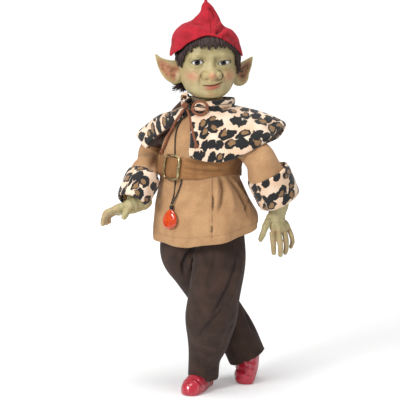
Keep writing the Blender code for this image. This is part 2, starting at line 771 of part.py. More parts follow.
HAIR_EDGE = (
    (-180, -150, -130, -112, -98, -82, -66, -52, -30, 0, 30, 52, 66, 82, 98, 112, 130, 150, 180),
    (382, 383, 391, 408, 425, 427, 415, 425, 434, 435, 434, 424, 408, 427, 425, 408, 391, 383, 382),
)
CAP_EDGE = (
    (-180, -130, -100, -80, -60, -30, 0, 30, 60, 80, 100, 130, 180),
    (428, 429, 432, 424, 430, 443, 450, 443, 430, 423, 432, 429, 428),
)


def make_hair(mat):
    """Hair under the cap, as a shell over the skull with a low edge behind the ears."""
    low = edge_heights(HEAD_TURN, HAIR_EDGE)
    rows = [low + (SKULL_TOP_Z - 7 - low) * s for s in np.linspace(0, 1, 7)]
    rows += [SKULL_TOP_Z - 2.5, SKULL_TOP_Z]
    inner = head_rings(rows, HAIR_EASE, relief=False)
    outer = head_rings(rows, HAIR_EASE + HAIR_THICKNESS, relief=False)
    inner[-2:, :, 2] += HAIR_EASE
    outer[-3:, :, 2] += np.array((1.5, 2.8, 3.8))[:, None]
    return dome_shell("hair", outer, inner, mat)


CAP_TIP_Z = SKULL_TOP_Z + CAP_PEAK
CAP_HEIGHTS = SKULL_TOP_Z + np.array((-44, -30, -20, -13, -6, 0, 5, 11, 19, 26, 31))
CAP_WIDTHS = (1.0, 1.0, 0.99, 0.95, 0.86, 0.72, 0.54, 0.36, 0.2, 0.11, 0.02)


def make_cap(mat):
    """Pointed felt cap with two corners that stand off the temples."""
    full = HEAD_HALF_WIDTH + HAIR_EASE + HAIR_THICKNESS + CAP_EASE
    low = edge_heights(HEAD_TURN, CAP_EDGE)
    rows = [low + (SKULL_TOP_Z - low) * s for s in np.linspace(0, 1, 6)]
    rows += list(SKULL_TOP_Z + (CAP_PEAK - 2.4) * np.array((0.17, 0.405, 0.743, 1.0)))
    angle = np.degrees(np.arctan2(np.cos(HEAD_TURN), np.sin(HEAD_TURN)))
    corner = 8 * np.exp(-(((angle + 76) / 22) ** 2)) + 3 * np.exp(-(((angle - 78) / 20) ** 2))

    def rings(grow):
        result = []
        for z in rows:
            share = smooth(CAP_HEIGHTS, CAP_WIDTHS, z)
            out = grow + corner * ramp(-np.asarray(z), -445, -422)
            half = full * share + out
            front = (full + FACE_DEPTH - HEAD_HALF_WIDTH + 1) * share + out
            back = (full + 1.05 * FACE_DEPTH - HEAD_HALF_WIDTH + 1) * share + out
            x, y = section((HEAD_X - 2.5 * (1 - share), HEAD_Y), half, front, back, HEAD_YAW, HEAD_TURN)
            rings_z = np.broadcast_to(z, x.shape) + 0.5 * grow * (1 - share)
            result.append(np.stack([x, y, rings_z], axis=1))
        return np.array(result)

    return dome_shell("cap", rings(CAP_WALL), rings(0.0)[:-1], mat)


# Cape: columns from the flap's front edge round the doll's left, back and right to the wing

CAPE_CENTRE = np.array((10.0, -28.0))
CAPE_NECK_ANGLES = (-45, 302)
CAPE_EDGE_ANGLES = (-27, 2, 32, 55, 68, 81, 105, 137, 180, 223, 247, 264)
CAPE_EDGE_RADII = (49, 50, 61, 77, 84, 93, 90, 73, 63, 80, 93, 76)
CAPE_EDGE_HEIGHTS = (303, 298, 302, 318, 328, 338, 318, 300, 293, 300, 318, 306)
CAPE_NECK_RADIUS = 22.0
CAPE_NECK_Z = 357.5
CAPE_COLUMNS = 35
CAPE_ROWS = 8
CAPE_REST = 1.0
WING_SAG = 0.3


def around(angle, radius, z, centre=CAPE_CENTRE):
    """A point round a centre. Angle 0 faces the viewer, and it grows towards +X."""
    return np.array((centre[0] + radius * math.sin(angle), centre[1] - radius * math.cos(angle), z))


def cape_grid(rows, columns):
    """Points of the cape's underside and the way it faces at each of them."""
    points = np.zeros((rows, columns, 3))
    ways = np.zeros_like(points)
    for j, share in enumerate(np.linspace(0, 1, columns)):
        edge_angle = CAPE_EDGE_ANGLES[0] + share * (CAPE_EDGE_ANGLES[-1] - CAPE_EDGE_ANGLES[0])
        neck_angle = CAPE_NECK_ANGLES[0] + share * (CAPE_NECK_ANGLES[1] - CAPE_NECK_ANGLES[0])
        radius = smooth(CAPE_EDGE_ANGLES, CAPE_EDGE_RADII, edge_angle)
        low = smooth(CAPE_EDGE_ANGLES, CAPE_EDGE_HEIGHTS, edge_angle)
        sag = 0.22 + WING_SAG * ramp(edge_angle, 215, 245)
        for i, u in enumerate(np.linspace(0, 1, rows)):
            angle = math.radians(neck_angle + (edge_angle - neck_angle) * ramp(u, 0, 0.8))
            bend_r = CAPE_NECK_RADIUS + 0.62 * (radius - CAPE_NECK_RADIUS)
            bend_z = CAPE_NECK_Z - sag * (CAPE_NECK_Z - low)
            r = (1 - u) ** 2 * CAPE_NECK_RADIUS + 2 * u * (1 - u) * bend_r + u * u * radius
            z = (1 - u) ** 2 * CAPE_NECK_Z + 2 * u * (1 - u) * bend_z + u * u * low
            points[i, j] = around(angle, r, z)
            lean = math.radians(78 - 52 * u)
            ways[i, j] = (math.sin(angle) * math.cos(lean), -math.cos(angle) * math.cos(lean), math.sin(lean))
    return points, ways


def make_cape(tunic, cape_mat, lining_mat):
    """Plush cape and its lining, which rest on the tunic's shoulders."""
    fine = 4
    points, ways = cape_grid((CAPE_ROWS - 1) * fine + 1, (CAPE_COLUMNS - 1) * fine + 1)
    rise = lifts(points, ways, tree_of(tunic), CAPE_REST)
    points, ways = points[::fine, ::fine], ways[::fine, ::fine]
    for i, j in np.ndindex(points.shape[:2]):
        near = rise[max(0, (i - 1) * fine) : (i + 1) * fine + 1, max(0, (j - 1) * fine) : (j + 1) * fine + 1]
        points[i, j] += near.max() * ways[i, j]
    under = points
    layers = np.cumsum((0, LINING_THICKNESS, GAP, CAPE_THICKNESS))
    surfaces = [under + depth * ways for depth in layers]
    lining = sheet_solid("cape_lining", surfaces[1], surfaces[0], lining_mat)
    cape = sheet_solid("cape", surfaces[3], surfaces[2], cape_mat)
    return cape, lining


def make_collar(cape, mat):
    """Stand collar: an open band that rests on the cape round the neck."""
    tree = tree_of(cape)
    rings = []
    for angle in np.radians(np.linspace(-33, 289, 28)):
        radii = np.linspace(-0.5, COLLAR_THICKNESS + 0.5, 6) + COLLAR_RADIUS
        tops = []
        for radius in radii:
            hit = tree.ray_cast(Vector(around(angle, radius, 420)), Vector((0, 0, -1)))
            tops.append(hit[0].z if hit[0] else 340)
        base = max(tops) + 2 * GAP
        inner, outer = COLLAR_RADIUS, COLLAR_RADIUS + COLLAR_THICKNESS
        middle = 0.5 * (inner + outer)
        profile = [
            (inner, base),
            (outer, base),
            (outer + 1.4, base + 0.6 * COLLAR_HEIGHT),
            (outer + 1.0, base + 0.9 * COLLAR_HEIGHT),
            (middle + 0.8, base + COLLAR_HEIGHT),
            (inner + 0.3, base + 0.85 * COLLAR_HEIGHT),
        ]
        rings.append([around(angle, r, z) for r, z in profile])
    return closed_loft("collar", rings, mat)


# Belt and buckle

BUCKLE_TURN = math.radians(102)
BUCKLE_WRAP = 0.78
TUNNEL_TURN = math.radians(96)


def belt_lift(turn):
    """The belt stands off the tunic where the pendant's cord passes behind it."""
    away = (np.asarray(turn) - TUNNEL_TURN + math.pi) % (2 * math.pi) - math.pi
    return 1.5 * GAP + CORD_TUNNEL * np.exp(-((away / math.radians(13)) ** 4))


def belt_point_rings(heights, grow):
    """Rings round the waist, with the tunnel for the cord."""
    rings = []
    for z in heights:
        ring = [on_body(t, z, TUNIC_OUTSIDE + belt_lift(t) + grow) for t in TURN]
        rings.append(ring)
    return np.array(rings)


def make_belt(mat):
    inner = belt_point_rings(BELT_ROWS, 0.0)
    outer = belt_point_rings(BELT_ROWS, BELT_THICKNESS)
    outer[1:-1] += 0.3 * (outer[1:-1] - inner[1:-1])
    return open_shell("belt", outer, inner, mat)


def make_buckle(mat):
    """A rounded frame that follows the belt."""
    lift = BELT_THICKNESS * 1.3 + GAP + BUCKLE_BAR + 0.35
    path = []
    for angle in np.linspace(0, 2 * math.pi, 24, endpoint=False):
        c, s = math.cos(angle), math.sin(angle)
        across = 0.5 * BUCKLE_WIDTH * math.copysign(abs(c) ** 0.42, c)
        up = 0.5 * BUCKLE_HEIGHT * math.copysign(abs(s) ** 0.42, s)
        turn = BUCKLE_TURN - BUCKLE_WRAP * across / (WAIST_DEPTH + 6)
        path.append(on_body(turn, BELT_Z + 1 + up, TUNIC_OUTSIDE + belt_lift(turn) + lift))
    outward = unit(on_body(BUCKLE_TURN, BELT_Z, 30) - on_body(BUCKLE_TURN, BELT_Z, 0))
    return hoop("buckle", np.array(path), BUCKLE_BAR, 6, outward, mat)


# Lace bow at the neck, in the opening of the collar

KNOT_ANGLE = math.radians(-52)
LOOP_ANGLE = math.radians(-17)
LOOP_WAY = (-0.25, -0.95, 0.15)


def make_bow(collar, cape, lining, mat):
    """The knot and the one loop of the lace."""
    ease = 1.1 * LACE_KNOT_RADIUS
    centre = around(KNOT_ANGLE, COLLAR_RADIUS + COLLAR_THICKNESS + ease, CAPE_NECK_Z + 5.5)
    ball("lace_knot", centre, LACE_KNOT_RADIUS, mat)
    way = unit(LOOP_WAY)
    across = unit(np.cross(UP, way))
    up = np.cross(way, across)
    middle = around(LOOP_ANGLE, COLLAR_RADIUS, CAPE_NECK_Z + 2.5)
    path = []
    for angle in np.linspace(0, 2 * math.pi, 20, endpoint=False):
        wide = 0.5 * LOOP_WIDTH * math.cos(angle) * across
        path.append(middle + wide + 0.5 * LOOP_HEIGHT * math.sin(angle) * up)
    path = np.array(path)
    ways = np.tile(way, (len(path), 1))
    rise = lifts(path, ways, tree_of(collar, cape, lining), 1.35 * (LACE_RADIUS + GAP))
    rise = np.max([np.roll(rise, step) for step in (-2, -1, 0, 1, 2)], axis=0)
    return hoop("lace_loop", path + rise[:, None] * way, LACE_RADIUS, 6, way, mat)


# Pendant: it lies on the front of the tunic below the belt

PENDANT_TURN = math.radians(99.5)
PENDANT_Z = 227.5
PENDANT_STEPS = (0, 0.06, 0.2, 0.4, 0.62, 0.8, 0.94, 1)
PENDANT_WIDTHS = (0.16, 0.34, 0.66, 0.92, 1.0, 0.88, 0.5, 0.16)


def make_pendant(tunic, amber, wrap_mat):
    """A flat teardrop and the wrap round its top."""
    over = TUNIC_OUTSIDE
    middle = on_body(PENDANT_TURN, PENDANT_Z, over, HEM_FLARE)
    turn_step, z_step = math.radians(14), 0.5 * PENDANT_HEIGHT
    right = on_body(PENDANT_TURN + turn_step, PENDANT_Z, over, HEM_FLARE)
    left = on_body(PENDANT_TURN - turn_step, PENDANT_Z, over, HEM_FLARE)
    below = on_body(PENDANT_TURN, PENDANT_Z - z_step, over, HEM_FLARE)
    above = on_body(PENDANT_TURN, PENDANT_Z + z_step, over, HEM_FLARE)
    across = unit(right - left)
    down = unit(below - above)
    out = unit(np.cross(across, down))
    down = np.cross(out, across)
    angles = np.linspace(0, 2 * math.pi, 12, endpoint=False)

    def ring(along, half_width, half_depth):
        return [middle + along * down + half_width * math.cos(a) * across + half_depth * math.sin(a) * out
                for a in angles]

    body, wrap = [], []
    for step, width in zip(PENDANT_STEPS, PENDANT_WIDTHS):
        along = PENDANT_HEIGHT * (step - 0.5)
        depth = 0.5 * PENDANT_THICKNESS * min(1.0, 1.5 * width)
        body.append(ring(along, 0.5 * PENDANT_WIDTH * width, depth))
    top = -0.5 * PENDANT_HEIGHT - GAP
    for step, size in ((0, 0.8), (0.3, 1.0), (0.7, 1.0), (1, 0.8)):
        wrap.append(ring(top - WRAP_HEIGHT * step, WRAP_RADIUS * size, WRAP_RADIUS * size))
    body, wrap = np.array(body), np.array(wrap)
    tree = tree_of(tunic)
    rise = 0.0
    for rings in (body, wrap):
        rise = max(rise, lifts(rings, np.broadcast_to(out, rings.shape), tree, GAP).max())
    closed_loft("pendant", body + rise * out, amber)
    closed_loft("pendant_wrap", wrap + rise * out, wrap_mat)


# Free cords: each one's radius and the points of its route, chosen by hand

CORDS = {
    "lace_tail_left": (
        LACE_RADIUS,
        [(-20, -51.2, 357.9), (-24.7, -49.5, 351.5), (-30.2, -45, 343), (-34.2, -40.8, 334),
         (-38.9, -37.1, 325.5), (-43.8, -38.3, 312.5), (-46.6, -36.6, 306.3)],
    ),
    "lace_tail_right": (
        LACE_RADIUS,
        [(-15.6, -51.8, 358.8), (-13, -55.2, 351), (-11, -62, 342), (-9, -67.7, 334),
         (-7, -72.1, 326), (-5, -75.4, 319)],
    ),
    "pendant_cord_left": (
        CORD_RADIUS,
        [(-21.3, -46.8, 357.5), (-22.8, -45.4, 350), (-25.8, -43.8, 341), (-29, -43.9, 333),
         (-30.6, -46.6, 324), (-31, -51, 314), (-31, -54, 304), (-31, -56, 294), (-31.2, -57.3, 284),
         (-30.6, -58.4, 274.5), (-31, -60.3, 264), (-32.3, -63.6, 254), (-34, -65.6, 248),
         (-35.7, -67.1, 243.4)],
    ),
    "pendant_cord_right": (
        CORD_RADIUS,
        [(-19.7, -63, 299), (-20.9, -63.5, 290), (-21.7, -63.7, 281), (-22.6, -63.4, 272),
         (-25.4, -65, 263), (-28.9, -66.3, 254), (-32, -67.3, 248), (-34, -68.5, 243.4)],
    ),
}


def make_cord(name, mat):
    """A free cord: a tube along a smooth curve through its route's points."""
    radius, route = CORDS[name]
    length = np.sum(np.linalg.norm(np.diff(route, axis=0), axis=1))
    points = curve_points(route, int(length / (4 * radius)) + 2)
    curve = bpy.data.curves.new(name, "CURVE")
    curve.dimensions = "3D"
    curve.bevel_depth = radius * MM
    curve.bevel_resolution = 2
    curve.use_fill_caps = True
    spline = curve.splines.new("POLY")
    spline.points.add(len(points) - 1)
    for target, point in zip(spline.points, points):
        target.co = (*(point * MM), 1.0)
    curve.materials.append(mat)
    obj = bpy.data.objects.new(name, curve)
    bpy.context.scene.collection.objects.link(obj)
    if name.startswith("lace_tail"):
        beyond = unit(points[-1] - points[-2]) * (LACE_END_RADIUS + GAP)
        ball(name.replace("tail", "end"), points[-1] + beyond, LACE_END_RADIUS, mat)
    return obj


def move_to_origin():
    """Put the middle of the figure's footprint at the origin, with its lowest point at height 0."""
    graph = bpy.context.evaluated_depsgraph_get()
    points = []
    for obj in bpy.data.objects:
        if not obj.hide_render:
            points += [v.co.copy() for v in obj.evaluated_get(graph).to_mesh().vertices]
            obj.evaluated_get(graph).to_mesh_clear()
    low, high = np.min(points, axis=0), np.max(points, axis=0)
    shift = Vector((-0.5 * (low[0] + high[0]), -0.5 * (low[1] + high[1]), -low[2]))
    for obj in bpy.data.objects:
        obj.data.transform(Matrix.Translation(shift))


def main():
    for obj in list(bpy.data.objects):
        bpy.data.objects.remove(obj, do_unlink=True)
    skin = material("skin", (0.46, 0.41, 0.19), 0.55)
    hand_skin = material("hand_skin", (0.44, 0.40, 0.20), 0.55)
    cloth = material("cloth_body", (0.7, 0.62, 0.5), 0.9)
    suede = material("tan_suede", (0.68, 0.42, 0.22), 0.9)
    belt_suede = material("belt_suede", (0.43, 0.22, 0.09), 0.85)
    brown = material("brown_suede", (0.08, 0.045, 0.035), 0.95)
    plush = material("leopard_plush", (0.9, 0.72, 0.55), 0.9)
    lining = material("satin_lining", (0.08, 0.03, 0.015), 0.45)
    red_felt = material("red_felt", (0.6, 0.02, 0.05), 0.95)
    red_leather = material("red_leather", (0.65, 0.04, 0.07), 0.25)
    hair = material("hair", (0.06, 0.03, 0.025), 0.6)
    eye_mat = material("eye", (0.8, 0.8, 0.8), 0.1)
    brass = material("brass", (0.40, 0.30, 0.11), 0.35, 1.0)
    lace = material("lace_suede", (0.35, 0.12, 0.05), 0.85)
    wax_cord = material("wax_cord", (0.02, 0.015, 0.015), 0.5)
    amber = material("amber", (0.60, 0.05, 0.005), 0.12)

    torso = make_torso(cloth)
    torso_cutter = closed_loft("torso_clearance", body_rings(BODY_RING_HEIGHTS, GAP))
    for side in ("left", "right"):
        make_arm(side, torso_cutter, cloth)
        make_hand(side, hand_skin)
        make_cuff(side, plush)
        make_leg(side, torso_cutter, cloth)
        make_shoe(side, red_leather)
    make_trousers(brown)
    tunic = make_tunic(suede)
    make_head(skin, eye_mat)
    make_hair(hair)
    make_cap(red_felt)
    cape, cape_lining = make_cape(tunic, plush, lining)
    collar = make_collar(cape, plush)
    make_belt(belt_suede)
    make_buckle(brass)
    make_bow(collar, cape, cape_lining, lace)
    make_pendant(tunic, amber, wax_cord)
    for name in CORDS:
        make_cord(name, lace if name.startswith("lace") else wax_cord)
    move_to_origin()


main()
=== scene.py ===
"""Looks of the elf figurine: skin, hair, felt, suede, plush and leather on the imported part.

Points are in millimetres in the figure's own frame, as in the part's source, until a mesh is made.
The doll looks at -Y, +X is to the right of someone facing it. Left and right are the doll's own.
"""

import math

import bmesh
import bpy
import numpy as np
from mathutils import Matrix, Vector
from mathutils.bvhtree import BVHTree


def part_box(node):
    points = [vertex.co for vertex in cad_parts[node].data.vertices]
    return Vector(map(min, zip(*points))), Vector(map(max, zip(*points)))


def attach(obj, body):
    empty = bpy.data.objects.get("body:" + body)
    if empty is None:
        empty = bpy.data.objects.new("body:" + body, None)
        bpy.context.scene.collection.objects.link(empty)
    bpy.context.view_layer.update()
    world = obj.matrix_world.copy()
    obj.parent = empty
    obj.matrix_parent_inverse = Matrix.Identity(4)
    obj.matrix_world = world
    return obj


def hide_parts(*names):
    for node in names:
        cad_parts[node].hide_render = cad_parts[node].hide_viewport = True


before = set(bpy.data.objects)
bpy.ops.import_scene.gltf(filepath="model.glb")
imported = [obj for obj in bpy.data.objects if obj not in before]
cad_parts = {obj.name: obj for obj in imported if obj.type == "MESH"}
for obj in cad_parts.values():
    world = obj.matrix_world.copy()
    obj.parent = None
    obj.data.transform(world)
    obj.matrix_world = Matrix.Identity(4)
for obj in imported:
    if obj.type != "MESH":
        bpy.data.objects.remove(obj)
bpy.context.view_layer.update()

MM = 0.001
UP = np.array((0.0, 0.0, 1.0))

# The body is turned to the doll's right and the head nearly faces the viewer
BODY_YAW = math.radians(-30)
BODY_Y = -28.0
HEAD_YAW = math.radians(6)
HEAD_XY = np.array((9.5, -25.0))
HEAD_X, HEAD_Y = HEAD_XY

# Power of the rings round the head and the body, whose corners are fuller than a circle's
BOXY = 2 / 2.3


# Places in the photograph

# Millimetres for a pixel in the target's plane, how far off the eye is, and the height it looks at
PIXEL, DISTANCE, TARGET_Z = 1.27, 2000.0, 238.0
DOWN = math.radians(9)
LENS = 141.7
EYE_POINT = np.array((0, -DISTANCE * math.cos(DOWN), TARGET_Z + DISTANCE * math.sin(DOWN)))


def spot(px, py, y):
    """The point at depth y that the photograph shows at a pixel of its 400 by 400."""
    u, v = (px - 200) * PIXEL / DISTANCE, (200 - py) * PIXEL / DISTANCE
    reach = (y + DISTANCE * math.cos(DOWN)) / (math.cos(DOWN) + v * math.sin(DOWN))
    z = TARGET_Z + DISTANCE * math.sin(DOWN) + reach * (v * math.cos(DOWN) - math.sin(DOWN))
    return np.array((reach * u, y, z))


def seen(points, y=-65.0):
    """X and Z of photograph pixels, on an upright plane square to the view."""
    return [(spot(px, py, y)[0], spot(px, py, y)[2]) for px, py in points]


# Curves and grids

def smooth(xs, ys, x):
    """Cubic curve through the points (xs, ys), with xs rising."""
    xs, ys = np.asarray(xs, float), np.asarray(ys, float)
    slopes = np.gradient(ys, xs)
    x = np.clip(np.asarray(x, float), xs[0], xs[-1])
    i = np.clip(np.searchsorted(xs, x) - 1, 0, len(xs) - 2)
    width = xs[i + 1] - xs[i]
    s = (x - xs[i]) / width
    start = (1 + 2 * s) * (1 - s) ** 2 * ys[i] + s * (1 - s) ** 2 * width * slopes[i]
    end = s * s * (3 - 2 * s) * ys[i + 1] + s * s * (s - 1) * width * slopes[i + 1]
    return start + end


def ramp(x, low, high):
    """0 below low, 1 above high, and a smooth step between them."""
    s = np.clip((np.asarray(x, float) - low) / (high - low), 0, 1)
    return s * s * (3 - 2 * s)


def bump(x, z, at_x, at_z, wide, tall):
    """1 at a place of the front view, fading over a width and a height."""
    return np.exp(-(((x - at_x) / wide) ** 2) - ((z - at_z) / tall) ** 2)


def ridge(x, width):
    """1 where x is 0, fading over a width on both sides."""
    return np.exp(-((x / width) ** 2))


def full_turn(count):
    """Angles at equal steps round a circle."""
    return np.linspace(0, 2 * math.pi, count, endpoint=False)


def boxy(wave, power=BOXY):
    """A cosine or sine for a ring between a circle and a box."""
    return np.sign(wave) * np.abs(wave) ** power


def unit(v):
    """Vectors of length 1."""
    v = np.asarray(v, float)
    return v / np.maximum(np.linalg.norm(v, axis=-1, keepdims=True), 1e-9)


def curve_points(points, count):
    """A smooth curve through a few points, read at equal steps."""
    points = np.asarray(points, float)
    steps = np.r_[0, np.cumsum(np.linalg.norm(np.diff(points, axis=0), axis=1))]
    s = np.linspace(0, steps[-1], count)
    return np.stack([smooth(steps, points[:, k], s) for k in range(points.shape[1])], axis=1)


def waves(x, seed, count=5, low=0.5, high=2.0):
    """A smooth wandering value made of a few sine waves, about -1 to 1."""
    rng = np.random.default_rng(seed)
    total = np.zeros_like(np.asarray(x, float))
    for frequency, phase in zip(rng.uniform(low, high, count), rng.uniform(0, 6.28, count)):
        total = total + np.sin(frequency * x + phase)
    return total / math.sqrt(count)


def blur(values, times, closed=False):
    """A grid of numbers smoothed along both directions."""
    for _ in range(times):
        padded = np.pad(values, ((1, 1), (0, 0)), mode="edge")
        values = 0.25 * padded[:-2] + 0.5 * padded[1:-1] + 0.25 * padded[2:]
        padded = np.pad(values, ((0, 0), (1, 1)), mode="wrap" if closed else "edge")
        values = 0.25 * padded[:, :-2] + 0.5 * padded[:, 1:-1] + 0.25 * padded[:, 2:]
    return values


def normals(grid, closed=True):
    """The way a grid of points faces at each point."""
    if closed:
        across = np.roll(grid, -1, axis=1) - np.roll(grid, 1, axis=1)
    else:
        across = np.gradient(grid, axis=1)
    return unit(np.cross(across, np.gradient(grid, axis=0)))


def line_distance(x, z, line):
    """Distance from points to a polyline in the front view, and how far along it the nearest place is."""
    best = np.full(np.shape(x), 1e9)
    share = np.zeros(np.shape(x))
    line = np.asarray(line, float)
    lengths = np.linalg.norm(np.diff(line, axis=0), axis=1)
    starts = np.r_[0, np.cumsum(lengths)]
    for k, length in enumerate(lengths):
        dx, dz = (line[k + 1] - line[k]) / length
        along = np.clip((x - line[k, 0]) * dx + (z - line[k, 1]) * dz, 0, length)
        distance = np.hypot(x - line[k, 0] - along * dx, z - line[k, 1] - along * dz)
        nearer = distance < best
        best = np.where(nearer, distance, best)
        share = np.where(nearer, (starts[k] + along) / starts[-1], share)
    return best, share


def groove(x, z, line, width, taper=0.25):
    """1 on a polyline of the front view, fading over a width and towards both ends."""
    distance, share = line_distance(x, z, line)
    return ridge(distance, width) * ramp(share, 0, taper) * ramp(1 - share, 0, taper)


def folded(x, z, facing, folds, taper, hollow_shade):
    """How far some folds of the front view push a cloth out, and the painted shade in their hollows."""
    push, dark = np.zeros(np.shape(x)), np.zeros(np.shape(x))
    for line, height, width in folds:
        fold = facing * groove(x, z, line, width, taper)
        push += height * fold
        # Painted shade: the hollows of the folds are darkened
        dark += hollow_shade * max(0.0, -height) * fold
    return push, dark


def band_faces(rows, columns, close_rows=False, close_columns=True):
    """Quads between rows of points."""
    i = np.arange(rows if close_rows else rows - 1)
    j = np.arange(columns if close_columns else columns - 1)
    i, j = np.meshgrid(i, j, indexing="ij")
    a = i * columns + j
    b = i * columns + (j + 1) % columns
    c = (i + 1) % rows * columns + (j + 1) % columns
    d = (i + 1) % rows * columns + j
    return np.stack([a, b, c, d], axis=-1).reshape(-1, 4).tolist()


# Pieces

def head_point(across, ahead, z):
    """A point beside and ahead of the head's axis."""
    x = HEAD_XY[0] + across * math.cos(HEAD_YAW) + ahead * math.sin(HEAD_YAW)
    y = HEAD_XY[1] + across * math.sin(HEAD_YAW) - ahead * math.cos(HEAD_YAW)
    return np.stack(np.broadcast_arrays(x, y, z), axis=-1)


EYE_ACROSS, EYE_AHEAD, EYE_Z = 16.3, 33.5, 416.5
low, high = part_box("eye_left")
ORIGIN = 0.5 * (np.array(low) + np.array(high)) - head_point(EYE_ACROSS, EYE_AHEAD, EYE_Z) * MM


def place(points):
    """Points of the figure's frame in the row's frame, in metres."""
    return ORIGIN + np.asarray(points, float) * MM


def piece(name, points, faces, mat, stands_for=(), marks=None):
    """One closed mesh that rides on the part. marks are values at its points, for its material."""
    mesh = bpy.data.meshes.new(name)
    mesh.from_pydata(place(points).tolist(), [], faces)
    for key, values in (marks or {}).items():
        vector = values.ndim == 2
        attribute = mesh.attributes.new(key, "FLOAT_VECTOR" if vector else "FLOAT", "POINT")
        attribute.data.foreach_set("vector" if vector else "value", values.astype(np.float32).ravel())
    bm = bmesh.new()
    bm.from_mesh(mesh)
    bmesh.ops.recalc_face_normals(bm, faces=bm.faces)
    bm.to_mesh(mesh)
    bm.free()
    mesh.shade_smooth()
    mesh.materials.append(mat)
    obj = bpy.data.objects.new(name, mesh)
    bpy.context.scene.collection.objects.link(obj)
    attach(obj, "root")
    if stands_for:
        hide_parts(*stands_for)
    return obj


def solid(name, rings, mat, stands_for=(), marks=None):
    """A solid through closed rings, with flat ends."""
    rows, columns = rings.shape[:2]
    faces = band_faces(rows, columns)
    faces.append(list(range(columns)))
    faces.append([(rows - 1) * columns + j for j in range(columns)])
    return piece(name, rings.reshape(-1, 3), faces, mat, stands_for, marks)


def both_sides(values):
    """Values of a cloth's outer side, given to its edges and its inner side too."""
    return np.concatenate([values, values[-1:], values[::-1], values[:1]])


def print_marks(at):
    """Where points lie on the flat printed cloth, as a mark for the leopard print."""
    at = at.reshape(-1, 2)
    return {"print": np.column_stack([at, np.zeros(len(at))])}


def cloth(name, grid, wall, mat, stands_for=(), closed=True, flip=False, print_at=None,
          dark=None):
    """Cloth of one thickness with rounded edges. grid is its outer side, dark its painted shade and any
    stitch lines.
    """
    out = normals(grid, closed) * (-1 if flip else 1)
    inner = grid - wall * out
    rows, columns = grid.shape[:2]
    ends = []
    for k, before in ((-1, -2), (0, 1)):
        middle = 0.5 * (grid[k] + inner[k])
        ends.append(middle + 0.4 * wall * unit(middle - 0.5 * (grid[before] + inner[before])))
    points = np.concatenate([grid, ends[0][None], inner[::-1], ends[1][None]])
    faces = band_faces(2 * rows + 2, columns, True, closed)
    if not closed:
        faces += side_faces(rows, columns)
    marks = {} if print_at is None else print_marks(both_sides(print_at))
    if dark is not None:
        # The dark mark holds painted shade, and stitch lines on the tunic
        marks["dark"] = both_sides(np.clip(dark, 0, 1)).ravel()
    return piece(name, points.reshape(-1, 3), faces, mat, stands_for, marks)


def side_faces(rows, columns):
    """Faces that close the first and the last column of an open cloth."""
    faces = []
    for j in (0, columns - 1):
        def at(row):
            """Number of a row's point in this column."""
            return row * columns + j
        faces += [[at(i), at(i + 1), at(2 * rows - i - 1), at(2 * rows - i)] for i in range(rows - 1)]
        faces.append([at(rows - 1), at(rows), at(rows + 1)])
        faces.append([at(0), at(2 * rows), at(2 * rows + 1)])
    return faces


def frames(path, side):
    """Two directions square to a path at each of its points."""
    tangents = unit(np.gradient(path, axis=0))
    axis = unit(side)
    first, second = [], []
    for tangent in tangents:
        axis = unit(axis - tangent * np.dot(axis, tangent))
        first.append(axis)
        second.append(np.cross(tangent, axis))
    return np.array(first), np.array(second)


def tube(path, radii, sides, side=(0.3, 1.0, 0.2), flat=1.0):
    """Rings round a path."""
    path = np.asarray(path, float)
    first, second = frames(path, side)
    angles = full_turn(sides)
    radii = np.broadcast_to(radii, len(path))[:, None, None]
    c, s = np.cos(angles)[None, :, None], np.sin(angles)[None, :, None]
    return path[:, None] + radii * (c * first[:, None] + flat * s * second[:, None])


def hoop(path, radius, sides, outward):
    """Rings of a closed tube along a ring of points."""
    tangents = unit(np.roll(path, -1, axis=0) - np.roll(path, 1, axis=0))
    first = unit(outward - tangents * np.sum(tangents * outward, axis=1, keepdims=True))
    second = np.cross(tangents, first)
    angles = full_turn(sides)
    radii = np.broadcast_to(radius, len(path))[:, None, None]
    c, s = np.cos(angles)[None, :, None], np.sin(angles)[None, :, None]
    return path[:, None] + radii * (c * first[:, None] + s * second[:, None])


def facing_loop(middle, way, wide, tall, count):
    """Points of an upright ring that looks along a way."""
    across = unit(np.cross(UP, way))
    up = np.cross(way, across)
    angles = full_turn(count)[:, None]
    return middle + wide * np.cos(angles) * across + tall * np.sin(angles) * up


def joined(parts):
    """Points and faces of several closed tubes as one mesh."""
    points, faces = [], []
    for rings, ring_closed in parts:
        rows, columns = rings.shape[:2]
        first = sum(len(p) for p in points)
        found = band_faces(rows, columns, ring_closed)
        if not ring_closed:
            found.append(list(range(columns)))
            found.append([(rows - 1) * columns + j for j in range(columns)])
        points.append(rings.reshape(-1, 3))
        faces += [[first + k for k in face] for face in found]
    return np.concatenate(points), faces


def node_tree(*names):
    """A search tree of some of the part's solids, in the figure's millimetres."""
    points, faces = [], []
    for name in names:
        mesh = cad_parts[name].data
        first = len(points)
        points += [Vector((np.array(v.co) - ORIGIN) / MM) for v in mesh.vertices]
        faces += [[first + i for i in p.vertices] for p in mesh.polygons]
    return BVHTree.FromPolygons(points, faces)


# Materials

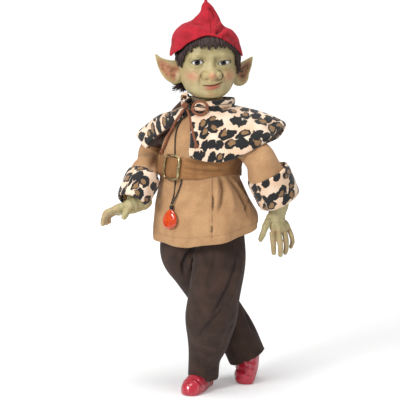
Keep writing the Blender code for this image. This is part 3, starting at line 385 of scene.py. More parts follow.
class Paint:
    """Short calls for the nodes of one material. Lengths in it are millimetres."""

    def __init__(self, name, roughness=0.8, sheen=0.0, metallic=0.0):
        """A material with a name and plain values."""
        self.mat = bpy.data.materials.new(name)
        self.mat.use_nodes = True
        self.tree = self.mat.node_tree
        self.shader = self.tree.nodes["Principled BSDF"]
        self.set("Roughness", roughness)
        self.set("Metallic", metallic)
        self.set("Sheen Weight", sheen)
        self.set("Sheen Roughness", 0.5)
        where = self.node("ShaderNodeTexCoord").outputs["Object"]
        self.at = self.scaled(where, 1 / MM)

    def set(self, name, value):
        """Give the shader a value, or what a socket says."""
        self.feed(self.shader.inputs[name], value)

    def feed(self, socket, value):
        """Give an input a value, a colour or another node's output."""
        if isinstance(value, bpy.types.NodeSocket):
            self.tree.links.new(value, socket)
        elif socket.type == "RGBA":
            socket.default_value = (*value, 1.0)
        else:
            socket.default_value = value

    def node(self, kind, inputs=None, **options):
        """A new node, with its options set and its inputs fed."""
        node = self.tree.nodes.new(kind)
        for key, value in options.items():
            setattr(node, key, value)
        for key, value in (inputs or {}).items():
            self.feed(node.inputs[key], value)
        return node

    def scaled(self, vector, factor):
        """A vector times a number."""
        inputs = {0: vector, "Scale": factor}
        return self.node("ShaderNodeVectorMath", inputs, operation="SCALE").outputs[0]

    def vector(self, operation, a, b):
        """A sum, difference or product of two vectors."""
        return self.node("ShaderNodeVectorMath", {0: a, 1: b}, operation=operation).outputs[0]

    def length(self, vector):
        """How long a vector is."""
        return self.node("ShaderNodeVectorMath", {0: vector}, operation="LENGTH").outputs["Value"]

    def noise(self, size, detail=3.0, at=None, output="Fac"):
        """Noise whose patches have about a size in millimetres."""
        inputs = {"Vector": at or self.at, "Scale": 1 / size, "Detail": detail}
        return self.node("ShaderNodeTexNoise", inputs).outputs[output]

    def mark(self, name, output="Fac"):
        """A value that the piece carries at its points, 0 where it has none."""
        return self.node("ShaderNodeAttribute", attribute_name=name).outputs[output]

    def math(self, operation, a, b=0.0, c=0.0):
        """A sum, difference or product of numbers."""
        return self.node("ShaderNodeMath", {0: a, 1: b, 2: c}, operation=operation).outputs[0]

    def between(self, value, low, high, start=0.0, end=1.0):
        """start below low, end above high, and a smooth step between them."""
        inputs = {"Value": value, "From Min": low, "From Max": high, "To Min": start, "To Max": end}
        return self.node("ShaderNodeMapRange", inputs, interpolation_type="SMOOTHSTEP").outputs["Result"]

    def mix(self, share, a, b):
        """Colour a, with a share of colour b from 0 to 1."""
        node = self.node("ShaderNodeMix", data_type="RGBA")
        self.feed(node.inputs["Factor"], share)
        self.feed(node.inputs[6], a)
        self.feed(node.inputs[7], b)
        return node.outputs[2]

    def patches(self, size, detail, low, high, a, b, most=1.0):
        """Colour a with patches of b, whose usual size is in millimetres."""
        return self.mix(self.between(self.noise(size, detail), low, high, 0.0, most), a, b)

    def raise_by(self, height, strength=0.5, depth=0.3):
        """Bump from a height of about 0 to 1, which stands for depth millimetres."""
        inputs = {"Height": height, "Strength": strength, "Distance": depth * MM}
        self.set("Normal", self.node("ShaderNodeBump", inputs).outputs["Normal"])


def shaded(color, share):
    """A darker shade of a colour."""
    return tuple(share * value for value in color)


def suede(name, light, dark, sheen=0.25, nap=0.6):
    """Suede cloth: brushed patches over a fine nap, with painted shade and stitch lines where the marks
    say.
    """
    paint = Paint(name, 0.92, sheen)
    color = paint.patches(16, 4, 0.3, 0.7, dark, light)
    color = paint.patches(1.3, 4, 0.35, 0.7, color, shaded(dark, 0.62), 0.35)
    # Painted shade in hollows, gaps and under the cape, and stitch lines, from the dark mark
    color = paint.mix(paint.mark("dark"), color, shaded(dark, 0.13))
    paint.set("Base Color", color)
    paint.raise_by(paint.noise(nap, 5), 0.45, 0.35)
    return paint.mat


# Distance between the middles of two spots of the leopard print
SPOT_PITCH = 13.5


def leopard_plush():
    """Cream plush with black spots and open rings, whose middles are a golden brown."""
    paint = Paint("leopard_plush", 0.9, 0.25)
    at = paint.mark("print", "Vector")
    shift = paint.vector("SUBTRACT", paint.noise(5.5, 2, at, "Color"), (0.5, 0.5, 0.5))
    moved = paint.vector("ADD", at, paint.scaled(shift, 7.0))
    grid = paint.scaled(moved, 1 / SPOT_PITCH)
    inputs = {"Vector": grid, "Scale": 1.0, "Randomness": 0.7}
    spots = paint.node("ShaderNodeTexVoronoi", inputs, voronoi_dimensions="2D").outputs
    chance = paint.node("ShaderNodeSeparateColor", {0: spots["Color"]}).outputs
    offset = paint.vector("SUBTRACT", grid, spots["Position"])
    turn = paint.math("MULTIPLY_ADD", chance[1], 1.3, -1.0)
    inputs = {"Vector": offset, "Angle": turn}
    turned = paint.node("ShaderNodeVectorRotate", inputs, rotation_type="Z_AXIS").outputs[0]
    longer = paint.vector("MULTIPLY", turned, (0.74, 1.12, 0.0))
    radius = paint.math("MULTIPLY_ADD", chance[0], 0.13, 0.375)
    black = paint.between(paint.math("SUBTRACT", radius, paint.length(longer)), -0.015, 0.025)
    inner = paint.length(paint.vector("SUBTRACT", longer, (0.10, 0.09, 0.0)))
    inside = paint.math("SUBTRACT", paint.math("MULTIPLY", radius, 0.5), inner)
    ringed = paint.between(chance[2], 0.48, 0.5)
    hollow = paint.math("MULTIPLY", paint.between(inside, -0.02, 0.03), ringed)
    cream = paint.between(paint.noise(18, 2, at), 0.35, 0.7)
    base = paint.mix(cream, (0.78, 0.54, 0.37), (0.86, 0.70, 0.55))
    glow = paint.math("MULTIPLY", paint.between(inside, -0.16, 0.02), ringed)
    base = paint.mix(glow, base, (0.50, 0.30, 0.14))
    spot_color = paint.mix(hollow, (0.006, 0.006, 0.007), (0.27, 0.15, 0.065))
    paint.set("Base Color", paint.mix(black, base, spot_color))
    pile = paint.vector("MULTIPLY", paint.at, (1.0, 1.0, 0.45))
    paint.raise_by(paint.noise(0.9, 4, pile), 0.6, 0.5)
    return paint.mat


def skin(name, light, dark):
    """Painted skin: olive, mottled, with blush, lips, and painted shade in creases, hollows and round the
    eyes where the marks say.
    """
    paint = Paint(name, 0.48)
    color = paint.patches(9, 4, 0.35, 0.68, dark, light)
    color = paint.patches(1.6, 3, 0.45, 0.8, color, shaded(dark, 0.75), 0.25)
    blotch = paint.between(paint.noise(3.5, 3), 0.25, 0.75, 0.65, 1.0)
    color = paint.mix(paint.math("MULTIPLY", paint.mark("blush"), blotch), color, (0.62, 0.20, 0.12))
    color = paint.mix(paint.mark("lip"), color, (0.46, 0.14, 0.085))
    # Painted shade, and the painted lash lines, from the shade mark
    color = paint.mix(paint.mark("shade"), color, (0.055, 0.035, 0.015))
    paint.set("Base Color", color)
    paint.set("Subsurface Weight", 0.12)
    paint.set("Subsurface Radius", (0.6, 0.3, 0.15))
    paint.set("Subsurface Scale", 1.2 * MM)
    paint.set("Roughness", paint.between(paint.noise(2.5, 3), 0.3, 0.7, 0.42, 0.58))
    paint.raise_by(paint.noise(0.7, 4), 0.18, 0.15)
    return paint.mat


def felt():
    """Crimson felt: matted fibres with a soft sheen."""
    paint = Paint("red_felt", 0.95, 0.12)
    color = paint.patches(10, 4, 0.3, 0.7, (0.33, 0.003, 0.012), (0.46, 0.006, 0.021))
    color = paint.patches(0.8, 5, 0.4, 0.75, color, (0.22, 0.002, 0.008), 0.4)
    # Painted shade in the hollows of the cap's creases, from the dark mark
    color = paint.mix(paint.mark("dark"), color, (0.07, 0.001, 0.003))
    paint.set("Base Color", color)
    paint.set("Sheen Tint", (1.0, 0.25, 0.3))
    paint.raise_by(paint.noise(0.8, 6), 0.5, 0.4)
    return paint.mat


def red_leather():
    """Glossy creased leather."""
    paint = Paint("red_leather", 0.18)
    color = paint.patches(8, 3, 0.3, 0.7, (0.46, 0.012, 0.032), (0.56, 0.020, 0.045))
    paint.set("Base Color", color)
    paint.set("Coat Weight", 1.0)
    paint.set("Coat Roughness", 0.06)
    long_at = paint.vector("MULTIPLY", paint.at, (1.0, 1.0, 1.8))
    inputs = {"Vector": long_at, "Scale": 1 / 5.5, "Detail": 5, "Distortion": 1.3}
    creases = paint.node("ShaderNodeTexNoise", inputs).outputs["Fac"]
    paint.raise_by(creases, 0.5, 1.1)
    return paint.mat


def hair_paint():
    """Dark brown strands with a dull shine."""
    paint = Paint("hair", 0.62)
    streak = paint.noise(1.1, 3, paint.vector("MULTIPLY", paint.at, (1.0, 1.0, 0.12)))
    color = paint.mix(paint.between(streak, 0.3, 0.7), (0.010, 0.005, 0.005), (0.062, 0.030, 0.024))
    paint.set("Base Color", color)
    paint.set("Anisotropic", 0.5)
    paint.raise_by(streak, 0.7, 0.5)
    return paint.mat


def eye_paint():
    """White, iris and pupil by the distance from the middle of the iris, under a clear coat."""
    paint = Paint("eye", 0.12)
    reach = paint.mark("iris")
    white = paint.patches(1.2, 3, 0.5, 0.85, (0.86, 0.86, 0.84), (0.7, 0.45, 0.4), 0.25)
    iris = paint.patches(0.35, 3, 0.3, 0.7, (0.004, 0.005, 0.005), (0.035, 0.040, 0.040))
    iris = paint.mix(paint.between(reach, 2.4, 3.3), iris, (0.012, 0.012, 0.014))
    color = paint.mix(paint.between(reach, 3.4, 3.65), iris, white)
    color = paint.mix(paint.between(reach, 2.1, 2.3, 1.0, 0.0), color, (0.002, 0.002, 0.002))
    paint.set("Base Color", color)
    paint.set("Coat Weight", 0.3)
    paint.set("Coat Roughness", 0.03)
    paint.set("Specular IOR Level", 0.2)
    return paint.mat


def brass_paint():
    """Antique brass in bright and dark patches."""
    paint = Paint("brass", 0.34, metallic=1.0)
    paint.set("Base Color", paint.patches(2.2, 4, 0.35, 0.65, (0.16, 0.11, 0.05), (0.55, 0.45, 0.24)))
    paint.set("Roughness", paint.between(paint.noise(1.4, 3), 0.3, 0.7, 0.22, 0.5))
    paint.raise_by(paint.noise(0.9, 3), 0.25, 0.3)
    return paint.mat


def amber_paint():
    """Polished orange-red resin."""
    paint = Paint("amber", 0.12)
    paint.set("Base Color", paint.patches(5, 3, 0.3, 0.7, (0.50, 0.03, 0.002), (0.68, 0.07, 0.008)))
    paint.set("Coat Weight", 1.0)
    paint.set("Coat Roughness", 0.04)
    paint.set("Subsurface Weight", 0.2)
    paint.set("Subsurface Radius", (1.0, 0.25, 0.05))
    paint.set("Subsurface Scale", 2 * MM)
    paint.raise_by(paint.noise(3.0, 2), 0.08, 0.4)
    return paint.mat


def fibre_paint(name, light, dark, roughness=0.7, sheen=0.1, pitch=1.1):
    """Twisted or brushed fibre for cords and laces, satin and plain cloth."""
    paint = Paint(name, roughness, sheen)
    strands = paint.noise(pitch, 4)
    paint.set("Base Color", paint.mix(paint.between(strands, 0.3, 0.7), dark, light))
    paint.raise_by(strands, 0.5, 0.35)
    return paint.mat


TAN = suede("tan_suede", (0.54, 0.31, 0.150), (0.44, 0.24, 0.110), 0.12)
BELT_SUEDE = suede("belt_suede", (0.365, 0.172, 0.060), (0.245, 0.108, 0.033), 0.05)
TROUSER_SUEDE = suede("brown_suede", (0.060, 0.030, 0.020), (0.031, 0.015, 0.010), 0.05)
LEOPARD = leopard_plush()
SKIN = skin("skin", (0.50, 0.415, 0.21), (0.43, 0.35, 0.165))
HAND_SKIN = skin("hand_skin", (0.46, 0.395, 0.205), (0.38, 0.32, 0.155))
FELT = felt()
LEATHER = red_leather()
HAIR = hair_paint()
EYE = eye_paint()
BRASS = brass_paint()
AMBER = amber_paint()
LACE = fibre_paint("lace_suede", (0.30, 0.105, 0.045), (0.15, 0.045, 0.02), 0.85, 0.1)
WAX = fibre_paint("wax_cord", (0.02, 0.016, 0.015), (0.006, 0.005, 0.005), 0.4, 0.0, 0.6)
LINING = fibre_paint("satin_lining", (0.095, 0.04, 0.02), (0.05, 0.018, 0.008), 0.42, 0.1, 5.0)
COTTON = fibre_paint("cloth_body", (0.66, 0.58, 0.46), (0.55, 0.47, 0.36), 0.9, 0.1)


# Camera, lights and floor

def add_camera():
    """The photograph's view: 9 degrees down from 2 m away, square to the front."""
    data = bpy.data.cameras.new("camera")
    data.lens = LENS
    data.sensor_width = 36.0
    camera = bpy.data.objects.new("camera", data)
    bpy.context.scene.collection.objects.link(camera)
    target = Vector(place((0, 0, TARGET_Z)))
    camera.location = target + DISTANCE * MM * Vector((0, -math.cos(DOWN), math.sin(DOWN)))
    camera.rotation_euler = (target - camera.location).to_track_quat("-Z", "Y").to_euler()
    bpy.context.scene.camera = camera


def add_light(name, where, size, power, target=(0, -20, 250)):
    """A soft white light that looks at the middle of the figure."""
    data = bpy.data.lights.new(name, "AREA")
    data.shape = "RECTANGLE"
    data.size, data.size_y = size
    data.energy = power
    light = bpy.data.objects.new(name, data)
    bpy.context.scene.collection.objects.link(light)
    light.location = place(where)
    aim = Vector(place(target)) - light.location
    light.rotation_euler = aim.to_track_quat("-Z", "Y").to_euler()


def add_floor():
    """A pale floor that takes soft shadows."""
    paint = Paint("floor", 0.9)
    paint.set("Base Color", (0.93, 0.93, 0.93))
    paint.set("Specular IOR Level", 0.0)
    seen_directly = paint.node("ShaderNodeLightPath").outputs["Is Camera Ray"]
    glow = paint.between(paint.length(paint.at), 300, 1500, 0.20, 0.75)
    paint.set("Emission Color", (1.0, 1.0, 1.0))
    paint.set("Emission Strength", paint.math("MULTIPLY", seen_directly, glow))
    bpy.ops.mesh.primitive_plane_add(size=60, location=(0, 0, -0.0002))
    floor = bpy.context.object
    floor.name = "floor"
    floor.data.materials.append(paint.mat)


def add_world():
    """White behind the figure, and a dimmer white that lights it."""
    world = bpy.data.worlds.new("studio")
    bpy.context.scene.world = world
    world.use_nodes = True
    tree = world.node_tree
    background = tree.nodes["Background"]
    path = tree.nodes.new("ShaderNodeLightPath")
    strength = tree.nodes.new("ShaderNodeMapRange")
    strength.inputs["To Min"].default_value = 0.36
    strength.inputs["To Max"].default_value = 1.0
    tree.links.new(path.outputs["Is Camera Ray"], strength.inputs["Value"])
    tree.links.new(strength.outputs["Result"], background.inputs["Strength"])
    background.inputs["Color"].default_value = (1, 1, 1, 1)
    bpy.context.scene.view_settings.view_transform = "Standard"


add_camera()
add_world()
add_floor()
add_light("key", (-1250, -1350, 1150), (0.6, 0.6), 25)
add_light("fill", (1300, -1300, 500), (1.0, 1.0), 3.5)
add_light("top", (0, -250, 2000), (1.0, 1.0), 20)


# Free cords, along the same route points as the solids

# Each cord's radius, material, slot, far end and the points it passes
CORDS = {
    "lace_tail_left": (1.6, LACE, "lace_suede", "knot", [
        (-20, -51.2, 357.9), (-24.7, -49.5, 351.5), (-30.2, -45, 343), (-34.2, -40.8, 334),
        (-38.9, -37.1, 325.5), (-43.8, -38.3, 312.5), (-46.6, -36.6, 306.3)]),
    "lace_tail_right": (1.6, LACE, "lace_suede", "knot", [
        (-15.6, -51.8, 358.8), (-13, -55.2, 351), (-11, -62, 342), (-9, -67.7, 334),
        (-7, -72.1, 326), (-5, -75.4, 319)]),
    "pendant_cord_left": (0.8, WAX, "wax_cord", "fitting", [
        (-21.3, -46.8, 357.5), (-22.8, -45.4, 350), (-25.8, -43.8, 341), (-29, -43.9, 333),
        (-30.6, -46.6, 324), (-31, -51, 314), (-31, -54, 304), (-31, -56, 294), (-31.2, -57.3, 284),
        (-30.6, -58.4, 274.5), (-31, -60.3, 264), (-32.3, -63.6, 254), (-34, -65.6, 248),
        (-35.7, -67.1, 243.4)]),
    "pendant_cord_right": (0.8, WAX, "wax_cord", "fitting", [
        (-19.7, -63, 299), (-20.9, -63.5, 290), (-21.7, -63.7, 281), (-22.6, -63.4, 272),
        (-25.4, -65, 263), (-28.9, -66.3, 254), (-32, -67.3, 248), (-34, -68.5, 243.4)]),
}


def add_cord(name):
    """A round cord on one smooth curve, and its length in metres."""
    radius, mat, slot, _, route = CORDS[name]
    length = np.sum(np.linalg.norm(np.diff(route, axis=0), axis=1))
    points = curve_points(route, int(length / radius) + 2)
    curve = bpy.data.curves.new(name + "_cord", "CURVE")
    curve.dimensions = "3D"
    curve.bevel_depth = radius * MM
    curve.bevel_resolution = 3
    curve.use_fill_caps = True
    spline = curve.splines.new("POLY")
    spline.points.add(len(points) - 1)
    for target, point in zip(spline.points, place(points)):
        target.co = (*point, 1.0)
    spline.use_smooth = True
    curve.materials.append(mat)
    obj = bpy.data.objects.new(name + "_cord", curve)
    bpy.context.scene.collection.objects.link(obj)
    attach(obj, "root")
    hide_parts(name)
    return obj, float(np.sum(np.linalg.norm(np.diff(points, axis=0), axis=1)) * MM)


cords = {name: add_cord(name) for name in CORDS}


# Head and face

# Heights of the head's rings, and each ring's half width, front and back as shares of the largest
HEAD_LEVELS = (357.3, 367, 371, 373, 377, 387, 397, 406, 416, 426, 436, 446, 454, 459.5, 462)
HEAD_WIDTHS = (0.31, 0.31, 0.36, 0.50, 0.66, 0.86, 0.965, 1.0, 1.01, 1.01, 0.99, 0.91, 0.74, 0.48, 0.12)
HEAD_FRONTS = (0.30, 0.30, 0.42, 0.74, 0.91, 0.96, 0.985, 0.99, 0.985, 1.0, 0.985, 0.9, 0.73, 0.47, 0.12)
HEAD_BACKS = (0.21, 0.21, 0.32, 0.44, 0.58, 0.8, 0.92, 1.0, 1.04, 1.05, 1.03, 0.94, 0.77, 0.5, 0.12)
HEAD_HALF, FACE_DEPTH = 35.5, 41.0

EYES = {
    "right": {"middle": (-16.6, 416.8), "inner": -9.3, "outer": -24.0, "tilt": 0.03, "iris": (-17.1, 417.1),
              "top": 2.7, "low": 2.6},
    "left": {"middle": (16.0, 416.3), "inner": 8.4, "outer": 23.6, "tilt": 0.14, "iris": (14.9, 416.3),
             "top": 2.4, "low": 2.3},
}
EYE_BALL, EYE_BACK = 8.6, 31.4
LID_THICKNESS, LID_BLEND = 1.15, 2.4
MOUTH = [(-11.5, 389.4), (-6, 388.9), (0, 389.0), (7.5, 390.6), (12, 392.6), (15, 394.6)]
SMILE_LINES = (
    [(-11.5, 404), (-13.4, 399), (-14.2, 393.5), (-13.4, 389)],
    [(13.0, 403.5), (15.4, 399.5), (17.2, 396.5)],
)
EYE_BAG = [(-24, 408.2), (-17, 405.6), (-11, 407.5)]

# Lines of the brow, each with its depth
BROW_LINES = (
    ([(7.0, 425), (5.8, 420), (5.2, 415), (5.0, 410)], 1.5),
    ([(-13, 430), (-10.5, 425), (-8, 419)], 0.9),
    ([(-14, 432), (-7, 430), (-1, 431)], 0.5),
)

# Soft forms of the face: how far each stands out, its place across and up, its half width and height
NOSE_X = 0.8
NOSTRILS = ((-1, 400.6), (1, 401.4))
FACE_FORMS = (
    (9.2, NOSE_X, 401.4, 7.4, 5.6),
    (3.2, 0.4, 411, 6.5, 8.0),
    (1.2, 0.4, 419, 6.5, 6),
    (1.4, NOSE_X, 396.6, 5.0, 2.4),
    (2.8, 1, 391, 13, 7.5),
    (-1.2, 0.5, 382.4, 9, 1.5),
    (-0.4, 0.6, 393.4, 1.6, 2.0),
    (-1.4, -12.8, 389.2, 1.5, 1.6),
    (-1.6, 16.2, 395.2, 1.6, 1.8),
    (3.0, -0.3, 376.8, 9, 4.6),
)

# Cheek, brow, eye socket and the fold under it, which both sides of the face have
PAIRED_FORMS = (
    (2.8, 22.5, 401.5, 9, 8),
    (2.6, 17, 426, 10, 4.0),
    (-3.0, 14.5, 417.5, 9.5, 6.0),
    (-0.9, 17, 408.5, 8, 1.8),
)
BLUSH = (
    (0.75, -22.5, 400, 7.5, 6),
    (0.75, 23, 400, 7, 7),
    (0.8, NOSE_X, 400.6, 5.0, 4.2),
    (0.25, 0, 378, 8, 4),
)


def base_half(z, grow=0.0):
    """Half the width of the plain head at some heights, grown outward."""
    return HEAD_HALF * smooth(HEAD_LEVELS, HEAD_WIDTHS, z) + grow


def base_ahead(z, turn, grow=0.0):
    """How far ahead of its axis the plain head is, all round it, grown outward."""
    front = FACE_DEPTH * smooth(HEAD_LEVELS, HEAD_FRONTS, z) + grow
    back = FACE_DEPTH * smooth(HEAD_LEVELS, HEAD_BACKS, z) + grow
    s = np.sin(turn)
    return np.where(s > 0, front, back) * boxy(s)


def eye_opening(a, z, eye):
    """Above 0 inside the gap between the lids, below 0 outside it, in millimetres."""
    x0, z0 = eye["middle"]
    half = 0.5 * abs(eye["outer"] - eye["inner"])
    s = (a - 0.5 * (eye["outer"] + eye["inner"])) / half
    middle = z0 + eye["tilt"] * (a - x0)
    rise = np.clip(1 - np.abs(s) ** 2.2, 0, 1) ** 0.75
    fall = np.clip(1 - s**2, 0, 1) ** 0.9
    inside = np.minimum(middle + eye["top"] * rise - z, z - middle + eye["low"] * fall)
    return np.where(np.abs(s) < 1, inside, -np.hypot((np.abs(s) - 1) * half, z - middle))


def forms(a, z, table, side=1):
    """The sum of some soft forms, mirrored where side is -1."""
    return sum(height * bump(a, z, side * x, up, wide, tall) for height, x, up, wide, tall in table)


def mouth_height(a):
    """Height of the line between the lips."""
    return smooth(*zip(*MOUTH), a)


def nostril_crease(a, z, side, at, width):
    """1 on the crease round one wing of the nose."""
    ring = np.hypot((a - NOSE_X - 8.6 * side) / 4.4, (z - at) / 5.4)
    outside = ramp((a - NOSE_X) * side, 6.0, 9.0) * ramp(z, 394, 397)
    return ridge(ring - 1.05, width) * outside


def features(a, z):
    """How far the face stands out of the plain head, without its eyes."""
    f = forms(a, z, FACE_FORMS) + forms(a, z, PAIRED_FORMS) + forms(a, z, PAIRED_FORMS, -1)
    for side, at in NOSTRILS:
        f += 4.4 * bump(a, z, NOSE_X + 9.0 * side, at, 3.2, 4.0)
        f -= 2.6 * bump(a, z, NOSE_X + 5.4 * side, 396.4, 2.2, 1.2)
        f -= 1.5 * nostril_crease(a, z, side, at, 0.17)
    within = ramp(a, -12.5, -8) * ramp(-a, -16, -11)
    above = z - mouth_height(a)
    f += within * (1.5 * ridge(above - 2.0, 1.6) - 1.9 * ridge(above, 0.62))
    f += 2.6 * ridge(above + 2.9, 2.3) * ridge(a - 1.5, 8.5)
    for line in SMILE_LINES:
        f -= 1.0 * groove(a, z, line, 1.4)
        f += 1.0 * groove(a, z, [(x + math.copysign(3.2, x), h) for x, h in line], 2.8)
    for line, depth in BROW_LINES:
        f -= depth * groove(a, z, line, 2.6)
    return f - 0.9 * groove(a, z, EYE_BAG, 1.3)


def face_ahead(a, z, plain):
    """The finished face: features, then lids that close over the eyeballs."""
    ahead = plain + features(a, z)
    for eye in EYES.values():
        x0, z0 = eye["middle"]
        reach = np.hypot(a - x0, z - z0)
        lid = EYE_BACK + np.sqrt(np.clip((EYE_BALL + LID_THICKNESS) ** 2 - reach**2, 0, None))
        lid = np.where(reach < EYE_BALL + 1.0, lid, ahead - 8)
        overlap = np.clip(LID_BLEND - np.abs(ahead - lid), 0, None)
        both = np.maximum(ahead, lid) + 0.25 * overlap**2 / LID_BLEND
        near = ramp(-reach, -EYE_BALL - 3, -EYE_BALL - 1)
        ahead = ahead + near * (both - ahead)
        gap = eye_opening(a, z, eye)
        ahead = ahead + 0.45 * ridge(gap + 0.7, 0.7) * near
        ahead = ahead - 0.9 * ridge(gap + 3.4, 0.8) * ramp(z, z0 + 1, z0 + 4) * near
        ahead = ahead - 4.5 * ramp(gap, -0.12, 0.3)
    return ahead


def add_head():
    """Neck and face in one moulding, with its paint and painted shade as marks. The skull's top is tucked
    under the cap.
    """
    columns, rows = 280, 180
    even = full_turn(columns)
    turn = even + math.pi / 2 - 0.62 * np.sin(even)
    share = np.linspace(0, 1, rows)
    z = smooth((0, 0.08, 0.14, 0.9, 1), (357.3, 370, 374, 440, 461.9), share)[:, None] + 0 * turn
    turn = turn[None, :] + 0 * z
    a = base_half(z) * boxy(np.cos(turn))
    plain = base_ahead(z, turn)
    facing = ramp(np.sin(turn), 0.12, 0.55)
    ahead = plain + facing * (face_ahead(a, z, plain) - plain)
    tucked = 1 - 0.1 * ramp(z, 441, 450)
    points = head_point(a * tucked, ahead * tucked, z)
    lip = np.exp(-(((a - 1.5) / 9.5) ** 4))
    above = z - mouth_height(a)
    lip = lip * (ramp(above, -6.2, -3.8) * ramp(-above, -2.2, -0.4))
    # Painted shade: the line between the lips, the nostrils and the creases round their wings, beside the
    # nose's bridge, the lid folds, and the smile and brow lines
    shade = 0.85 * groove(a, z, MOUTH, 0.55, 0.12)
    for side, at in NOSTRILS:
        shade += (0.45 + 0.35 * side) * bump(a, z, NOSE_X + 6.2 * side, 397.4, 1.9, 1.2)
        shade += 0.13 * bump(a, z, 8.5 * side, 420, 5, 4)
        shade += (0.6 + 0.2 * side) * nostril_crease(a, z, side, at, 0.14)
    for eye in EYES.values():
        gap = eye_opening(a, z, eye)
        z0 = eye["middle"][1]
        # A painted lash line along the lids, which also stands for the shade under the upper lid
        shade += 1.6 * ridge(gap + 0.35, 0.8) * np.where(z > z0, 1.0, 0.3)
        shade += 0.26 * ridge(gap + 2.3, 1.6) * ramp(z, z0, z0 + 3)
    for line in SMILE_LINES:
        shade += 0.25 * groove(a, z, line, 1.0)
    for line, depth in BROW_LINES:
        shade += 0.16 * depth * groove(a, z, line, 3.4)
    marks = {"blush": forms(a, z, BLUSH), "lip": lip, "shade": shade}
    marks = {key: (np.clip(value, 0, 1) * facing).ravel() for key, value in marks.items()}
    solid("face_and_neck", points, SKIN, ["head"], marks)


def add_eye(side):
    """An eyeball with its cornea."""
    eye = EYES[side]
    rows, columns = 50, 64
    tilt = np.linspace(0.02, math.pi - 0.02, rows)[:, None]
    angle = full_turn(columns)[None, :]
    a = EYE_BALL * np.sin(tilt) * np.cos(angle)
    up = EYE_BALL * np.sin(tilt) * np.sin(angle)
    ahead = EYE_BALL * np.cos(tilt) + 0 * angle
    x0, z0 = eye["middle"]
    off = np.hypot(a + x0 - eye["iris"][0], up + z0 - eye["iris"][1])
    distance = np.where(ahead > 0, off, 20.0)
    swell = 0.5 * ramp(-distance, -4.2, -2.2)
    points = head_point(x0 + a, EYE_BACK + ahead + swell, z0 + up)
    solid(f"eyeball_{side}", points, EYE, [f"eye_{side}"], {"iris": distance.ravel()})


# Each ear: pixels and depths from its root to its tip, its half widths there, and how much painted shade
# its bowl takes, more on the ear away from the light
EARS = {
    "right": ([(184, 75, -26), (178, 72.5, -28), (172, 70.5, -30), (164, 65, -31), (158.5, 59, -32),
               (155.6, 54.2, -32)], (10, 15.5, 14, 8.6, 3.6, 1.0), 0.0),
    "left": ([(232, 77, -22), (238, 75, -21), (243, 69.5, -20), (248, 63, -20), (252.3, 56.8, -20)],
             (10, 14, 9.6, 5.6, 1.0), 0.45),
}


def add_ear(side):
    """A pointed ear with a rolled rim and a pink bowl, on the places the photograph shows."""
    places, widths, bowl_shade = EARS[side]
    rows = 96
    line = curve_points(np.column_stack([[spot(*at) for at in places], widths]), rows)
    first, second = frames(line[:, :3], (0, 0.1, 1))
    angles = full_turn(72)
    c, s = np.cos(angles)[None, :], np.sin(angles)[None, :]
    width = line[:, 3][:, None]
    share = np.linspace(0, 1, rows)[:, None]
    thick = 0.24 * np.minimum(width, 14)
    front = s * -np.sign(second[:, 1])[:, None] > 0
    bowl = np.exp(-((np.abs(c + 0.12) / 0.66) ** 4))
    bowl = bowl * ramp(share, 0.12, 0.3) * ramp(1 - share, 0.06, 0.35)
    fold = ridge(c - 0.12 + 0.5 * (share - 0.4), 0.13) * ramp(1 - share, 0.25, 0.6)
    veins = np.clip(waves(share * 30 + 3 * c, 17) * waves(c * 9 + share * 5, 18), 0, 1)
    depth = np.where(front, bowl * (1.35 - 0.85 * fold - 0.35 * veins), 0.0)
    points = (line[:, None, :3] + (width * c)[..., None] * first[:, None]
              + (thick * s * (1 - 0.98 * depth))[..., None] * second[:, None])
    blush = np.where(front, 0.85 * bowl, 0.15 * ramp(1 - share, 0, 1))
    # Painted shade in the bowl and along its fold, deeper on the ear away from the light; the veins are the
    # ear's own colour
    shade = np.where(front, bowl * (0.12 + 0.3 * fold + 0.35 * veins + bowl_shade), 0.0)
    marks = {"blush": np.clip(blush, 0, 1).ravel(), "shade": np.clip(shade, 0, 1).ravel()}
    solid(f"ear_{side}", points, SKIN, (), marks)


add_head()
for side in ("left", "right"):
    add_eye(side)
    add_ear(side)


# Hair

# Degrees round the head from its front, and the height of the hair's and the cap's lower edge there
HAIR_EDGE = (
    (-180, -150, -130, -112, -98, -82, -66, -52, -30, 0, 30, 52, 66, 82, 98, 112, 130, 150, 180),
    (382, 383, 391, 408, 423, 423, 410, 424, 435, 435, 435, 424, 404, 414, 420, 408, 391, 383, 382),
)
CAP_EDGE = (
    (-180, -130, -100, -80, -60, -30, 0, 30, 60, 80, 100, 130, 180),
    (428, 429, 432, 424, 430, 443, 450, 443, 430, 423, 432, 429, 428),
)

# How likely a lock is kept, up to each angle from the front: the fringe, its sides, the ears, the nape
LOCK_TRIES, NAPE_STRANDS = 560, 110
LOCK_CHANCES = ((44, 0.75), (75, 0.8), (108, 0.1), (180, 0.9))


def head_ring(turn, z, grow):
    """Points of the plain skull, grown outward."""
    return head_point(base_half(z, grow) * boxy(np.cos(turn)), base_ahead(z, turn, grow), z)


def head_angle(turn):
    """Degrees round the head from its front, rising towards the doll's left."""
    return np.degrees(np.arctan2(np.cos(turn), np.sin(turn)))


def add_hair():
    """A cap of hair with combed ridges."""
    columns, rows = 400, 24
    turn = full_turn(columns)
    angle = head_angle(turn)
    low = smooth(*HAIR_EDGE, angle) + 2.6 * waves(angle, 5, 6, 0.3, 1.1)
    share = np.linspace(0, 1, rows)[:, None]
    top = smooth(*CAP_EDGE, angle) + 6
    z = low + (top - low) * share
    ridges = 0.45 * waves(turn * 57 + 3 * waves(share * 4, 2), 11, 7, 0.8, 2.6)
    grow = 4.2 + ridges * ramp(share, 0, 0.1) - 1.5 * (1 - ramp(share, 0, 0.12))
    grid = head_ring(turn + 0 * z, z, grow - 3.0 * ramp(z - top, -8, -1))
    cloth("hair_cap", grid, 2.6, HAIR, ["hair"], flip=True)


